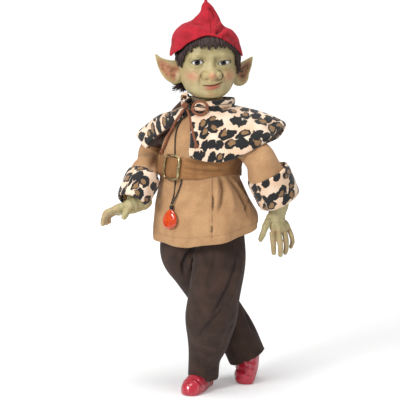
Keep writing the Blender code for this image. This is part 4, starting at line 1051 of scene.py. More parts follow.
def lock(rng, at):
    """A lock that hangs over the hair's lower edge, at some degrees from the front."""
    aside = abs(at)
    length = rng.uniform(9, 17) if aside > 60 else rng.uniform(10, 17)
    drop = rng.uniform(1.0, 6.0) if aside > 100 else rng.uniform(-2.0, 3.0)
    drift = rng.uniform(-4, 4) * (0.6 if aside < 60 else 1.0)
    steps = np.linspace(0, 1, 7)
    heights = float(smooth(*HAIR_EDGE, at)) + length - (length + drop) * steps
    turns = math.pi / 2 - np.radians(at + drift * steps**1.5)
    thick = 1.5 + rng.uniform(-0.4, 1.3)
    lift = 1.5 + thick * ramp(steps, 0, 0.4) + (0.8 if aside < 60 else 1.4) * steps
    radii = rng.uniform(0.45, 0.8) * np.sqrt(np.clip(1.02 - steps**2.2, 0.02, 1))
    return tube(head_ring(turns, heights, lift), radii, 5)


def nape_strand(rng):
    """A strand of the hair that shows below the right ear."""
    end = spot(rng.uniform(171, 190), rng.uniform(83, 93), rng.uniform(-24, 0))
    root = np.array((rng.uniform(-20, -8), rng.uniform(-14, 0), rng.uniform(388, 402)))
    path = curve_points([root, 0.5 * (root + end) + (0, 0, -2.5), end + (0, 0, rng.uniform(-1, 2))], 7)
    return tube(path, rng.uniform(0.7, 1.3) * np.sqrt(np.linspace(1, 0.03, 7)), 5)


def add_locks():
    """Loose locks and strands along the hair's edge."""
    rng = np.random.default_rng(4)
    parts = []
    for _ in range(LOCK_TRIES):
        at = rng.uniform(-180, 180)
        keep = next(chance for limit, chance in LOCK_CHANCES if abs(at) <= limit)
        if rng.uniform() <= keep:
            parts.append((lock(rng, at), False))
    for _ in range(NAPE_STRANDS):
        parts.append((nape_strand(rng), False))
    points, faces = joined(parts)
    piece("hair_locks", points, faces, HAIR)


add_hair()
add_locks()


# Cap

# Outlines of the cap from its edge to its tip, and its creases with their heights and widths
CAP_LEFT = seen([(166.2, 60), (169.5, 51), (171.3, 44.6), (172.2, 38.3), (174.2, 33.2),
                 (178.8, 27.6), (184, 23.9), (189.9, 21.7), (195.9, 16.6), (200.6, 11),
                 (202.2, 4.5), (204.3, 1.2)], HEAD_Y)
CAP_RIGHT = seen([(243.4, 61), (241.6, 51), (239.7, 44.6), (237.4, 37), (234, 32.2), (230.4, 29),
                  (225.6, 27), (222.4, 24.2), (219.3, 17.2), (215.6, 11), (211, 4.5),
                  (207.2, 1.2)], HEAD_Y)
CAP_TIP_Z = 492.0
CAP_CREASES = (
    (seen([(226, 26), (221.5, 30), (217.5, 33), (214.5, 34.8)]), -3.0, 1.4),
    (seen([(229, 31), (224, 34), (219, 37)]), 2.8, 3.0),
    (seen([(223, 23), (218, 28), (212, 31)]), 1.6, 2.4),
    (seen([(211.4, 20), (211.2, 28), (211.4, 36)]), -1.1, 0.8),
    (seen([(215, 21), (215.5, 27), (213.5, 32)]), 1.5, 2.4),
    (seen([(208, 8), (213.2, 13), (216, 21)]), -2.6, 1.7),
    (seen([(206, 8), (208, 16), (207, 25)]), 1.6, 2.6),
    (seen([(190, 22.5), (195, 24.5), (201, 25.5), (206, 27)]), -2.0, 1.4),
    (seen([(184, 26), (192, 27.5), (200, 29.5), (208, 33)]), 1.8, 2.6),
    (seen([(176, 40), (186, 38), (196, 34)]), -0.9, 3.0),
    (seen([(236, 42), (232, 38), (226, 35)]), -1.2, 2.0),
)


def outline_x(outline, z):
    """Across an outline of the front view at some heights."""
    x, heights = zip(*outline)
    return smooth(heights, x, z)


def add_cap():
    """Felt cap: a brim of two lobes that meet at the front seam, and a leaning point."""
    columns, rows = 270, 70
    even = full_turn(columns)
    turn = even + math.pi / 2 - 0.35 * np.sin(even)
    angle = head_angle(turn)
    low = smooth(*CAP_EDGE, angle)
    share = np.linspace(0, 1, rows)[:, None]
    z = low + (CAP_TIP_Z - low) * share
    left, right = outline_x(CAP_LEFT, z), outline_x(CAP_RIGHT, z)
    middle, half = 0.5 * (left + right), np.maximum(0.5 * (right - left), 1.2)
    size = half / 43.0
    c, s = np.cos(turn), np.sin(turn)
    back_low = ramp(-s, -0.2, 0.7) * ramp(-z, -445, -425)
    half = half - back_low * np.clip(half - 43.5, 0, None)
    wide = ramp(-z, -462, -430)
    depth = np.where(s > 0, 46.0 + 2.4 * wide, 49.5) * np.minimum(size, 1.0)
    across = half * boxy(c)
    ahead = depth * boxy(s)
    x = middle + across + 0.105 * ahead
    y = HEAD_Y - ahead + 0.10 * across
    grid = np.stack([x, y, z], axis=-1)
    out = -normals(grid)
    facing = ramp(-out[..., 1], 0.0, 0.35)
    # Painted shade in the hollows of the creases
    push, dark = folded(x, z, facing, CAP_CREASES, 0.25, 0.14)
    push = push + 0.35 * waves(angle / 13 + z / 9, 9) * ramp(-z, -489, -478)
    push = push + 1.2 * ramp(out[..., 1], 0.0, 0.4) * waves(z / 6 + angle / 60, 10) * ramp(-z, -486, -470)
    grid = grid + push[..., None] * out
    cloth("felt_cap", grid, 1.6, FELT, ["cap"], flip=True, dark=dark)


add_cap()


# Body surface under the clothes

# Height, middle across, half width and front depth of the body's rings
BODY = np.array((
    (190, 5, 41.8, 31.2), (205, 5, 47.9, 35.7), (232, 4, 51, 38), (262, 1, 49.25, 37.5), (287, 0, 47.5, 37),
    (308, 4, 50, 36), (325, 8, 48, 33.1), (338, 9.5, 44, 29.5), (347, 10, 35.2, 25.2), (353, 10, 22, 19.1),
    (357, 10, 13, 13)), float)
HEM_Z, FLARE_FROM_Z, HEM_FLARE, HEM_RISE, HANGING_SIDE = 200.5, 270.0, 20.0, 0.13, 0.5
TUNIC_OUTSIDE, TUNIC_WALL = 3.3, 1.5


def body_grid(heights, turn, grow, flare=0.0, lift=0.0):
    """Points of the body's surface, grown outward. A flare widens them below the belt."""
    z = np.asarray(heights, float)
    z = (z[:, None] if z.ndim == 1 else z) + 0 * turn
    levels = BODY[:, 0]
    half, front = smooth(levels, BODY[:, 2], z), smooth(levels, BODY[:, 3], z)
    girth = BODY[:, 2] + BODY[:, 3]
    slope = (smooth(levels, girth, z + 0.5) - smooth(levels, girth, z - 0.5)) / 2
    length = np.hypot(1, slope)
    extra = (grow + lift) / length
    drop = np.clip((FLARE_FROM_Z - z) / (FLARE_FROM_Z - HEM_Z), 0, 1.2)
    wide = flare * drop**0.9 * (1 - HANGING_SIDE * np.clip(-np.cos(turn), 0, 1) ** 2)
    folds = 2.2 * min(flare, 1.0) * drop**1.5 * np.cos(8 * turn)
    c, s = np.cos(turn), np.sin(turn)
    across = (half + extra + wide + folds) * boxy(c)
    depth = np.where(s > 0, front, 0.9 * front) + extra + wide + folds
    ahead = depth * boxy(s)
    x = smooth(levels, BODY[:, 1], z) + across * math.cos(BODY_YAW) + ahead * math.sin(BODY_YAW)
    y = BODY_Y + across * math.sin(BODY_YAW) - ahead * math.cos(BODY_YAW)
    tilt = 0.058 * (x - HEAD_X) + 0.10 * (y - BODY_Y) + HEM_RISE * np.clip(x + 15, 0, None)
    swing = min(flare, 1.0) * tilt * ramp(-z, -250, -HEM_Z)
    return np.stack([x, y, z - grow * slope / length + swing], axis=-1)


# Tunic

PLACKET = seen([(212.3, 172), (212.5, 200), (212.0, 236)], -75)
PLACKET_GAPS = (
    seen([(212.6, 193), (213.0, 200), (212.4, 210)], -75),
    seen([(212.2, 223), (211.6, 228), (211.0, 232)], -75),
)

# Folds here and below: their line in the photograph, how far they stand out, and their half width
TUNIC_FOLDS = (
    (seen([(217.5, 173), (221.5, 181), (223, 190), (221.5, 202), (218, 212)], -72), -3.6, 1.9),
    (seen([(214.8, 175), (217.2, 186), (217, 200), (215, 214)], -72), 2.4, 2.6),
    (seen([(225, 174), (230.5, 181), (238, 191), (246, 206), (249, 220)], -66), -3.0, 1.6),
    (seen([(221.5, 174), (227, 184), (231, 197), (234, 214)], -68), 2.8, 4.0),
    (seen([(231, 173), (240, 184), (250, 199), (258, 216)], -55), -2.0, 1.6),
    (seen([(229, 175), (236, 184), (245, 197), (253, 213)], -60), 2.2, 2.6),
    (seen([(243, 212), (247, 205), (249, 196)], -60), -1.2, 1.4),
    (seen([(161, 187), (157, 200), (160, 214)], -50), -1.6, 3.0),
    (seen([(168, 178), (163, 192), (157, 206)], -55), 1.6, 3.5),
    (seen([(196, 208), (203, 200), (209, 190)], -75), -0.9, 3.5),
    (seen([(178, 180), (172, 196), (172, 220)], -60), 0.9, 5.0),
)


def add_tunic():
    """The tunic's body: placket, pleats that fan out from the belt, and a stitched hem, with painted shade
    in the pleats, the placket's groove and its gaps.
    """
    even = full_turn(380)
    turn = (even - 0.35 * np.sin(even - math.radians(120) - math.pi / 2))[None, :]
    heights = np.concatenate([np.linspace(HEM_Z, 275, 62), np.linspace(278, 354.5, 18)])
    grid = body_grid(heights, turn, TUNIC_OUTSIDE, HEM_FLARE)
    out = -normals(grid)
    x, z = grid[..., 0], grid[..., 2]
    facing = ramp(-out[..., 1], 0.0, 0.35)
    below = ramp(-z, -272, -262)
    # Painted shade in the hollows of the pleats
    push, dark = folded(x, z, facing, TUNIC_FOLDS, 0.3, 0.13)
    push = push + 0.5 * waves(turn * 5 + z / 30, 7) * below + 0.25 * waves(x / 9 + z / 13, 8)
    back = ramp(out[..., 1], 0.1, 0.5)
    push = push + 1.3 * back * below * np.sin(turn * 15 + 1.1 * waves(z / 28, 3))
    edge, _ = line_distance(x, z, PLACKET)
    side = ramp(x - PLACKET[1][0], -0.3, 0.3)
    on_front = facing * ramp(-z, -282, -276)
    push = push + on_front * (0.7 * (1 - side) * np.exp(-edge / 9) - 0.9 * ridge(edge, 0.6))
    # Painted shade in the groove along the placket's edge
    dark = dark + on_front * 0.45 * ridge(edge, 0.55)
    for line in PLACKET_GAPS:
        gap = on_front * groove(x, z, line, 0.9, 0.3)
        push = push - 2.6 * gap
        # Painted shade in the placket's open gaps
        dark = dark + 1.1 * gap
    rows = heights[:, None] + 0 * turn
    stitch = ridge(rows - HEM_Z - 9.5, 0.7)
    push = push - 0.4 * stitch
    dark = dark + 0.22 * stitch * (0.7 + 0.3 * np.sin(turn * 170))
    stitch = on_front * ridge(edge - 3.4, 0.5) * (1 - side)
    dark = dark + 0.14 * stitch
    grid = grid + push[..., None] * out
    cloth("tunic_body", grid, TUNIC_WALL, TAN, ["tunic"], flip=True, dark=dark)


add_tunic()


# Sleeves and cuffs

# The middle line of each arm, the sleeve's ease round it, and the line and flare of its cuff
ARMS = {
    "left": {
        "line": [(26, -39, 334), (50, -55, 320), (72, -67, 299), (85, -64, 274), (97, -56, 249)],
        "ease": (4, 5, 8.5, 12.5, 11.5),
        "cuff": [(82, -64, 281), (90, -61, 265), (98, -56.5, 249)],
        "cuff_flare": (1.0, 0.6, 1.2),
    },
    "right": {
        "line": [(-14, -16, 334), (-33, -2, 326), (-51, 11, 313), (-62, 17, 295),
                 (-66, 3, 284), (-69, -18, 275), (-73.5, -42, 265.5), (-81, -58, 250.5)],
        "ease": (3, 4, 4, 5, 5, 5, 5, 4),
        "cuff": [(-71.5, -38, 271.5), (-77, -51.5, 260.5), (-83.5, -62.5, 246)],
        "cuff_flare": (1.2, 1.1, 1.2),
    },
}
ARM_RADIUS, CUFF_WALL = 11.0, 3.2


def arm_line(side, start, end, count):
    """Points of the arm's line and the sleeve's radius at each, between two shares of its length."""
    table = np.column_stack([ARMS[side]["line"], np.array(ARMS[side]["ease"]) + ARM_RADIUS])
    dense = curve_points(table, 101)
    places = np.linspace(start, end, count) * 100
    return np.stack([np.interp(places, np.arange(101), dense[:, k]) for k in range(4)], axis=1)


def add_sleeve(side):
    """A gathered sleeve: folds run along it and cross at the bend of the arm."""
    rows, columns = 84, 128
    line = arm_line(side, 0.0, 1.0, rows)
    grid = tube(line[:, :3], line[:, 3], columns)
    out = normals(grid)
    angle = full_turn(columns)[None, :]
    share = np.linspace(0, 1, rows)[:, None]
    seed = 21 if side == "left" else 34
    along = waves(np.cos(angle) * 4 + np.sin(angle) * 3 + 1.5 * share, seed, 5, 0.8, 1.8)
    crossing = waves(share * 17 + 1.8 * np.sin(angle + 0.6), seed + 1, 5, 0.7, 1.6)
    bend = ridge(share - 0.55, 0.2)
    push = 0.9 * along * ramp(share, 0.1, 0.3) + (0.7 + 0.9 * bend) * crossing * ramp(share, 0.1, 0.25)
    push = push * ramp(1 - share, 0.0, 0.2)
    cloth(f"sleeve_{side}", grid + push[..., None] * out, TUNIC_WALL, TAN, ["tunic"])


def add_cuff(side):
    """A turned-back plush cuff with soft edges."""
    sleeve = arm_line(side, 0.3, 1.0, 60)
    knots = curve_points(ARMS[side]["cuff"], 4)
    along = unit(knots[-1] - knots[0])
    reach = []
    for point in knots:
        offsets = sleeve[:, :3] - point
        near = np.argmin(np.linalg.norm(offsets, axis=1))
        aside = offsets[near] - along * np.dot(offsets[near], along)
        reach.append(sleeve[near, 3] + np.linalg.norm(aside))
    thirds = np.linspace(0, 1, 4)
    flare = smooth(np.linspace(0, 1, 3), ARMS[side]["cuff_flare"], thirds)
    rows, columns = 34, 132
    share = np.linspace(0, 1, rows)
    path = curve_points(ARMS[side]["cuff"], rows)
    radii = smooth(thirds, np.array(reach) + 0.3 + flare, share) + CUFF_WALL - 0.6
    rim = 1.0 * ridge(share, 0.09) + 1.0 * ridge(1 - share, 0.09)
    grid = tube(path, radii - rim, columns)
    angle = full_turn(columns)[None, :]
    soft = 0.45 * waves(2.2 * np.cos(angle) + 1.7 * np.sin(angle) + 2 * share[:, None], 5, 5)
    grid = grid + soft[..., None] * normals(grid)
    around_it = (angle - math.radians(200)) % (2 * math.pi)
    length = np.linalg.norm(knots[-1] - knots[0])
    start = 40.0 if side == "left" else 300.0
    at = np.stack(np.broadcast_arrays(start + around_it * 26, start + share[:, None] * length), axis=-1)
    cloth(f"plush_cuff_{side}", grid, CUFF_WALL, LEOPARD, [f"cuff_{side}"], print_at=at)


for side in ARMS:
    add_sleeve(side)
    add_cuff(side)


# Hands: pixels of the photograph and a depth for each joint, then the radii

HANDS = {
    "left": {
        "wrist": [(278.5, 203, -53, 13.0), (277.3, 211, -52.5, 11.4), (277, 217, -52, 10.8),
                  (277.5, 223, -52, 10.4)],
        "palm": [(272.5, 231, -57), (278.8, 232.5, -56), (284.2, 231.5, -52), (288.4, 228.5, -46)],
        "fingers": [
            [(272.2, 231.5, -58), (273.0, 240, -60), (273.6, 248, -58), (273.9, 255.2, -54)],
            [(278.8, 232.5, -57), (280.0, 242, -60), (280.4, 250, -58), (280.0, 257.0, -53)],
            [(284.6, 231.5, -52), (286.0, 240, -56), (286.3, 247.5, -54), (284.9, 254.6, -49)],
            [(288.6, 228.5, -46), (291.6, 236, -50), (292.6, 241.5, -48), (290.3, 248.6, -44)],
        ],
        "thumb": [(270.5, 216, -54), (266.3, 225, -59), (263.0, 233.5, -61), (259.8, 242.0, -60)],
    },
    "right": {
        "wrist": [(144, 200.5, -56, 10.6), (137, 204, -63, 10.0), (130.5, 206.3, -69, 9.8),
                  (126, 208, -72, 9.6)],
        "palm": [(114.6, 210.0, -82), (113.0, 209.6, -76), (113.4, 210.6, -70), (115.4, 212.6, -64)],
        "fingers": [
            [(115.0, 210.2, -82), (106.5, 213.8, -87), (103.2, 220.0, -88), (102.3, 226.2, -86)],
            [(113.2, 209.6, -76), (105.6, 213.4, -80), (103.6, 220.4, -80), (104.8, 225.4, -78)],
            [(113.4, 210.6, -70), (107.2, 215.0, -73), (106.0, 221.0, -72), (107.8, 224.6, -70)],
            [(115.4, 212.6, -64), (109.6, 216.6, -66), (109.0, 220.8, -65), (110.6, 223.2, -63)],
        ],
        "thumb": [(129.5, 208.5, -76), (126.8, 212.0, -83), (124.6, 216.0, -87), (123.0, 219.6, -88)],
    },
}
FINGER_RADII = (3.55, 3.65, 3.5, 3.1)


def blended(parts, grain, passes):
    """Points and faces of closed tubes melted into one skin."""
    points, faces = joined(parts)
    mesh = bpy.data.meshes.new("blend")
    mesh.from_pydata(points.tolist(), [], faces)
    obj = bpy.data.objects.new("blend", mesh)
    bpy.context.scene.collection.objects.link(obj)
    remesh = obj.modifiers.new("remesh", "REMESH")
    remesh.mode = "VOXEL"
    remesh.voxel_size = grain
    soften = obj.modifiers.new("soften", "SMOOTH")
    soften.factor = 0.5
    soften.iterations = passes
    graph = bpy.context.evaluated_depsgraph_get()
    result = bpy.data.meshes.new_from_object(obj.evaluated_get(graph))
    found = np.empty(len(result.vertices) * 3)
    result.vertices.foreach_get("co", found)
    faces = [tuple(p.vertices) for p in result.polygons]
    ways = np.array([v.normal for v in result.vertices])
    bpy.data.objects.remove(obj)
    bpy.data.meshes.remove(result)
    bpy.data.meshes.remove(mesh)
    return found.reshape(-1, 3), faces, ways


def finger_radii(steps, radius, tip):
    """A finger's radius along it: two swollen joints and a round tip."""
    joints = 0.08 * ridge(steps - 0.36, 0.07) + 0.06 * ridge(steps - 0.68, 0.06)
    body = radius + (tip - radius) * steps
    return body * (1 + joints) * np.sqrt(np.clip(1 - np.clip((steps - 0.9) / 0.1, 0, 1) ** 2, 0.02, 1))


def add_hand(side):
    """Forearm, palm, fingers and thumb in one moulding, from the joints that the photograph shows."""
    data = HANDS[side]
    arm = arm_line(side, 0.84, 0.98, 5)[:, :3]
    wrist = np.array([(*spot(px, py, y), radius) for px, py, y, radius in data["wrist"]])
    arm = np.concatenate([np.column_stack([arm, np.full(len(arm), wrist[0, 3])]), wrist])
    arm = curve_points(arm, 50)
    parts = [(tube(arm[:, :3], arm[:, 3] * np.r_[np.ones(46), 0.97, 0.9, 0.75, 0.4], 48), False)]
    root = wrist[-2, :3]
    knuckles = [spot(*joint) for joint in data["palm"]]
    palm_middle = 0.5 * (knuckles[1] + knuckles[2])
    steps = np.linspace(0, 1, 24)
    for knuckle in knuckles:
        line = curve_points([root, 0.5 * (root + knuckle), knuckle], len(steps))
        line = line + 0.25 * (palm_middle - knuckle) * (1 - steps[:, None])
        radii = smooth((0, 0.4, 0.85, 1), (7.6, 6.6, 5.4, 4.0), steps)
        parts.append((tube(line, radii, 24), False))
    for first, second in zip(knuckles, knuckles[1:]):
        web = 0.5 * (first + second)
        line = curve_points([root, 0.5 * (root + web), web], 20)
        parts.append((tube(line, np.linspace(7.0, 4.6, 20), 20), False))
    steps = np.linspace(0, 1, 34)
    tips = []
    for joints, radius in zip(data["fingers"], FINGER_RADII):
        line = curve_points([spot(*joint) for joint in joints], len(steps))
        parts.append((tube(line, finger_radii(steps, 1.06 * radius, 0.8 * radius), 24), False))
        tips.append(line[-4])
    line = curve_points([spot(*joint) for joint in data["thumb"]], len(steps))
    parts.append((tube(line, finger_radii(steps, 4.9, 3.2), 24), False))
    points, faces, ways = blended(parts, 0.75, 7)
    blush = np.zeros(len(points))
    for finger in data["fingers"]:
        for joint in finger[:3]:
            off = np.linalg.norm(points - spot(*joint), axis=1)
            blush += 0.16 * ridge(off - 3.5, 2.5)
    for tip in tips:
        blush += 0.22 * np.exp(-np.sum((points - tip) ** 2, axis=1) / 14)
    along = unit(wrist[-1, :3] - wrist[-3, :3])
    crease = np.abs((points - wrist[-2, :3]) @ along)
    points = points - (0.45 * ridge(crease, 1.0))[:, None] * ways
    points = points + (0.22 * waves(points @ np.array((0.5, 0.3, 0.1)), 4))[:, None] * ways
    # Painted shade in the wrist's crease
    marks = {"blush": np.clip(blush, 0, 1), "shade": 0.12 * ridge(crease, 0.8)}
    piece(f"modelled_hand_{side}", points, faces, HAND_SKIN, [f"hand_{side}"], marks)


for side in HANDS:
    add_hand(side)


# Trousers

# The middle line of each trouser leg and its radii
LEGS = {
    "left": ([(24, -38, 205), (25, -46, 168), (18, -54, 126), (14, -51, 98), (10, -42, 66), (5, -33, 40),
              (3.5, -29.5, 15)], (31, 33, 33, 33.5, 26.5, 21, 20.5)),
    "right": ([(-14, -18, 205), (-18, -12, 172), (-8, -5, 150), (10, 3, 120), (31, 8, 90), (48, 9.5, 62),
               (62, 11, 31)], (34, 32.5, 29, 27, 25.5, 26, 25.5)),
}
TROUSER_FOLDS = (
    (seen([(199, 240), (194, 248), (187, 256), (182, 268), (184, 285)]), -3.4, 1.8),
    (seen([(205, 243), (199, 254), (191, 262), (188, 280)]), 2.6, 3.2),
    (seen([(191, 243), (187, 252), (178, 262)]), 2.0, 2.6),
    (seen([(216, 244), (213, 262), (205, 282)]), -1.6, 2.6),
    (seen([(236, 244), (236, 262), (228, 284), (216, 305), (206, 322)]), -2.2, 2.0),
    (seen([(241, 250), (240, 272), (232, 292), (222, 312)]), 2.2, 3.4),
    (seen([(227, 300), (214, 314), (203, 326), (198, 338)]), -1.8, 1.6),
    (seen([(236, 318), (226, 334), (222, 352)]), -1.2, 2.0),
    (seen([(190, 300), (187, 318), (190, 336)]), 1.2, 3.0),
    (seen([(245, 318), (251, 334), (257, 346)]), -2.0, 1.8),
    (seen([(189.9, 339.5), (205, 343.5), (223.5, 347)]), -1.1, 0.8),
    (seen([(190, 337), (205, 341), (223.5, 344.5)]), 0.8, 1.4),
    (seen([(196, 350), (199, 362), (198, 374)]), -0.9, 2.0),
    (seen([(210, 352), (209, 364), (211, 376)]), 0.9, 2.6),
)


# How a trouser leg's end turns in to a dark opening: steps along the leg, and how far in each is
HEM_TURN = ((0.6, 1.0), (-0.5, 2.2), (-4, 2.6), (-8, 3.0), (-10, 3.2))


def trouser_rings(side):
    """A trouser leg with its hem, whose rings are square to the way the leg ends."""
    line, radii = LEGS[side]
    table = curve_points(np.column_stack([line, radii]), 90)
    path, radius = table[:, :3], table[:, 3] - 0.6
    ahead = unit(path[-1] - path[-4])
    rings = tube(path, radius, 72)
    outward = unit(rings[-1] - path[-1])
    hem = [path[-1] + along * ahead + (radius[-1] - inset) * outward for along, inset in HEM_TURN]
    return np.concatenate([rings, hem])


def add_trousers():
    """Seat and legs melted together, with folds that hang from the hips and stack at the ankles."""
    turn = full_turn(90)[None, :]
    seat = body_grid(np.linspace(188.5, 268, 30), turn, 1.5)
    parts = [(seat, False), (trouser_rings("left"), False), (trouser_rings("right"), False)]
    points, faces, ways = blended(parts, 1.5, 5)
    x, z = points[:, 0], points[:, 2]
    facing = ramp(-ways[:, 1], 0.05, 0.4)
    # Painted shade in the hollows of the folds
    push, dark = folded(x, z, facing, TROUSER_FOLDS, 0.3, 0.2)
    push += 0.7 * waves(x / 9 + z / 26, 12, 6, 0.4, 1.4)
    push += 0.45 * waves(points[:, 1] / 8 - z / 20, 13, 5, 0.4, 1.2)
    points = points + push[:, None] * ways
    marks = {"dark": np.clip(dark, 0, 1)}
    piece("sewn_trousers", points, faces, TROUSER_SUEDE, ["trousers"], marks)


add_trousers()


# Shoes

SHOES = {
    "left": {"heel": (11, -8, 0), "toe_way": (-0.41, -0.91, 0.0), "sole_up": (0, 0, 1)},
    "right": {"heel": (74.5, 23.5, 49.5), "toe_way": (-0.26, -0.47, -0.845),
              "sole_up": (-0.42, -0.62, 0.58)},
}
SHOE_LENGTH, SHOE_HALF_WIDTH, SHOE_HEIGHT = 66, 14, 21


def add_shoe(side):
    """A soft creased shoe, flattened where it meets the floor."""
    data = SHOES[side]
    along = unit(data["toe_way"])
    up = unit(np.array(data["sole_up"]) - along * np.dot(data["sole_up"], along))
    across = np.cross(along, up)
    steps = np.linspace(0, 1, 110)[:, None]
    angles = full_turn(100)[None, :]
    width = SHOE_HALF_WIDTH * smooth((0, 0.06, 0.25, 0.7, 0.9, 1), (0.3, 0.6, 0.76, 1.0, 0.8, 0.3), steps)
    top = SHOE_HEIGHT * smooth((0, 0.08, 0.3, 0.7, 0.92, 1), (0.55, 1.0, 1.25, 0.95, 0.7, 0.3), steps)
    ends = np.sqrt(np.clip(1 - np.clip((steps - 0.94) / 0.06, 0, 1) ** 2, 0.03, 1))
    c, n = np.cos(angles), np.sin(angles)
    beside = width * ends * boxy(c, 0.8)
    above = 0.35 * top + 0.65 * top * n * ends
    under = 0.35 * top * (1 - ends * np.clip(np.abs(n) / 0.7, 0, 1) ** 0.45)
    height = np.where(n > 0, above, under)
    upper = ramp(n, 0.05, 0.5) * ramp(steps, 0.3, 0.5)
    folds = 0.9 * waves(steps * 30 + 1.3 * np.sin(2 * angles), 15) + 0.6 * waves(steps * 12 + 3 * c, 16)
    height = height + folds * upper * ends
    points = np.array(data["heel"]) + (SHOE_LENGTH * steps)[..., None] * along
    points = points + beside[..., None] * across + height[..., None] * up
    points[..., 2] = np.maximum(points[..., 2], 0.0)
    solid(f"leather_shoe_{side}", points, LEATHER, [f"shoe_{side}"])


for side in SHOES:
    add_shoe(side)


# Cape, lining and collar

# The cape's hem by angles round the neck: how far out and how high it lies
CAPE_CENTRE = np.array((10.0, -28.0))
CAPE_NECK_ANGLES = (-45, 302)
CAPE_EDGE_ANGLES = (-27, 2, 32, 55, 68, 81, 105, 137, 180, 223, 247, 264)
CAPE_EDGE_RADII = (49, 50, 61, 77, 84, 93, 90, 73, 63, 80, 93, 76)
CAPE_EDGE_HEIGHTS = (303, 298, 302, 318, 328, 338, 318, 300, 293, 300, 318, 306)
CAPE_NECK_RADIUS, CAPE_NECK_Z = 22.0, 357.5
CAPE_SHAPE = (54, 300)
CAPE_SAG, WING_SAG, WING_ANGLES = 0.22, 0.3, (215, 245)


def around(angle, radius, z):
    """A point round the neck. Angle 0 faces the viewer, and it grows towards +X."""
    x = CAPE_CENTRE[0] + radius * np.sin(angle)
    y = CAPE_CENTRE[1] - radius * np.cos(angle)
    return np.stack(np.broadcast_arrays(x, y, z), axis=-1)


def lifts(points, ways, tree, clearance, reach=60.0):
    """How far each point has to move along its way to clear some solids."""
    rise = np.zeros(points.shape[:-1])
    for index in np.ndindex(rise.shape):
        start = points[index] + reach * ways[index]
        hit = tree.ray_cast(Vector(start), Vector(-ways[index]), reach + 5)
        if hit[0] is not None:
            rise[index] = max(0.0, reach - hit[3] + clearance)
    return rise


def cape_surface():
    """Points of the cape's underside, the way it faces, and where each lies on the flat cloth."""
    rows, columns = CAPE_SHAPE
    share = np.linspace(0, 1, columns)[None, :]
    u = np.linspace(0, 1, rows)[:, None]
    edge = CAPE_EDGE_ANGLES[0] + share * (CAPE_EDGE_ANGLES[-1] - CAPE_EDGE_ANGLES[0])
    neck = CAPE_NECK_ANGLES[0] + share * (CAPE_NECK_ANGLES[1] - CAPE_NECK_ANGLES[0])
    radius = smooth(CAPE_EDGE_ANGLES, CAPE_EDGE_RADII, edge)
    low = smooth(CAPE_EDGE_ANGLES, CAPE_EDGE_HEIGHTS, edge)
    angle = np.radians(neck + (edge - neck) * ramp(u, 0, 0.8))
    bend_r = CAPE_NECK_RADIUS + 0.62 * (radius - CAPE_NECK_RADIUS)
    bend_z = CAPE_NECK_Z - (CAPE_SAG + WING_SAG * ramp(edge, *WING_ANGLES)) * (CAPE_NECK_Z - low)
    r = (1 - u) ** 2 * CAPE_NECK_RADIUS + 2 * u * (1 - u) * bend_r + u * u * radius
    z = (1 - u) ** 2 * CAPE_NECK_Z + 2 * u * (1 - u) * bend_z + u * u * low
    lean = np.radians(78 - 52 * u) + 0 * angle
    ways = np.stack([np.sin(angle) * np.cos(lean), -np.cos(angle) * np.cos(lean), np.sin(lean)], axis=-1)
    points = around(angle, r, z)
    lengths = np.linalg.norm(np.diff(points, axis=0), axis=2)
    slant = 28 + np.concatenate([np.zeros((1, columns)), np.cumsum(lengths, axis=0)])
    flat = np.stack([slant * np.sin(0.82 * angle), -slant * np.cos(0.82 * angle)], axis=-1)
    return points, ways, flat


def add_cape():
    """Plush cape laid on the tunic, and its satin lining."""
    points, ways, flat = cape_surface()
    tree = node_tree("tunic", "cape")
    rise = lifts(points, ways, tree, -0.6)
    wide = rise
    for _ in range(3):
        wide = np.maximum(wide, np.maximum(np.roll(wide, 1, 1), np.roll(wide, -1, 1)))
    wide = blur(0.5 * (wide + rise), 12)
    soft = 0.5 * waves(flat[..., 0] / 16 + flat[..., 1] / 22, 31, 6, 0.5, 1.6)
    top = points + (wide + 0.6 + soft * 0.6)[..., None] * ways
    u = np.linspace(0, 1, len(top))[:, None]
    share = np.linspace(0, 1, top.shape[1])[None, :]
    rolled = 1.6 * (ridge(1 - u, 0.03) + ridge(np.minimum(share, 1 - share), 0.006))
    top = top - np.minimum(rolled, 1.8)[..., None] * ways
    cape = cloth("plush_cape", top, 2.4, LEOPARD, ["cape"], closed=False, print_at=flat)
    under = (top - 3.2 * ways)[::2, ::2]
    lining = cloth("satin_cape_lining", under, 0.8, LINING, ["cape_lining"], closed=False)
    crossed = np.cross(top[1:, 1:] - top[:-1, :-1], top[1:, :-1] - top[:-1, 1:])
    return cape, lining, top, 0.5 * np.linalg.norm(crossed, axis=2).sum() * MM * MM


cape, lining, cape_top, cape_area = add_cape()


COLLAR_RADIUS, COLLAR_THICKNESS, COLLAR_HEIGHT = 27.0, 4.5, 11.0
COLLAR_GAP = 0.3


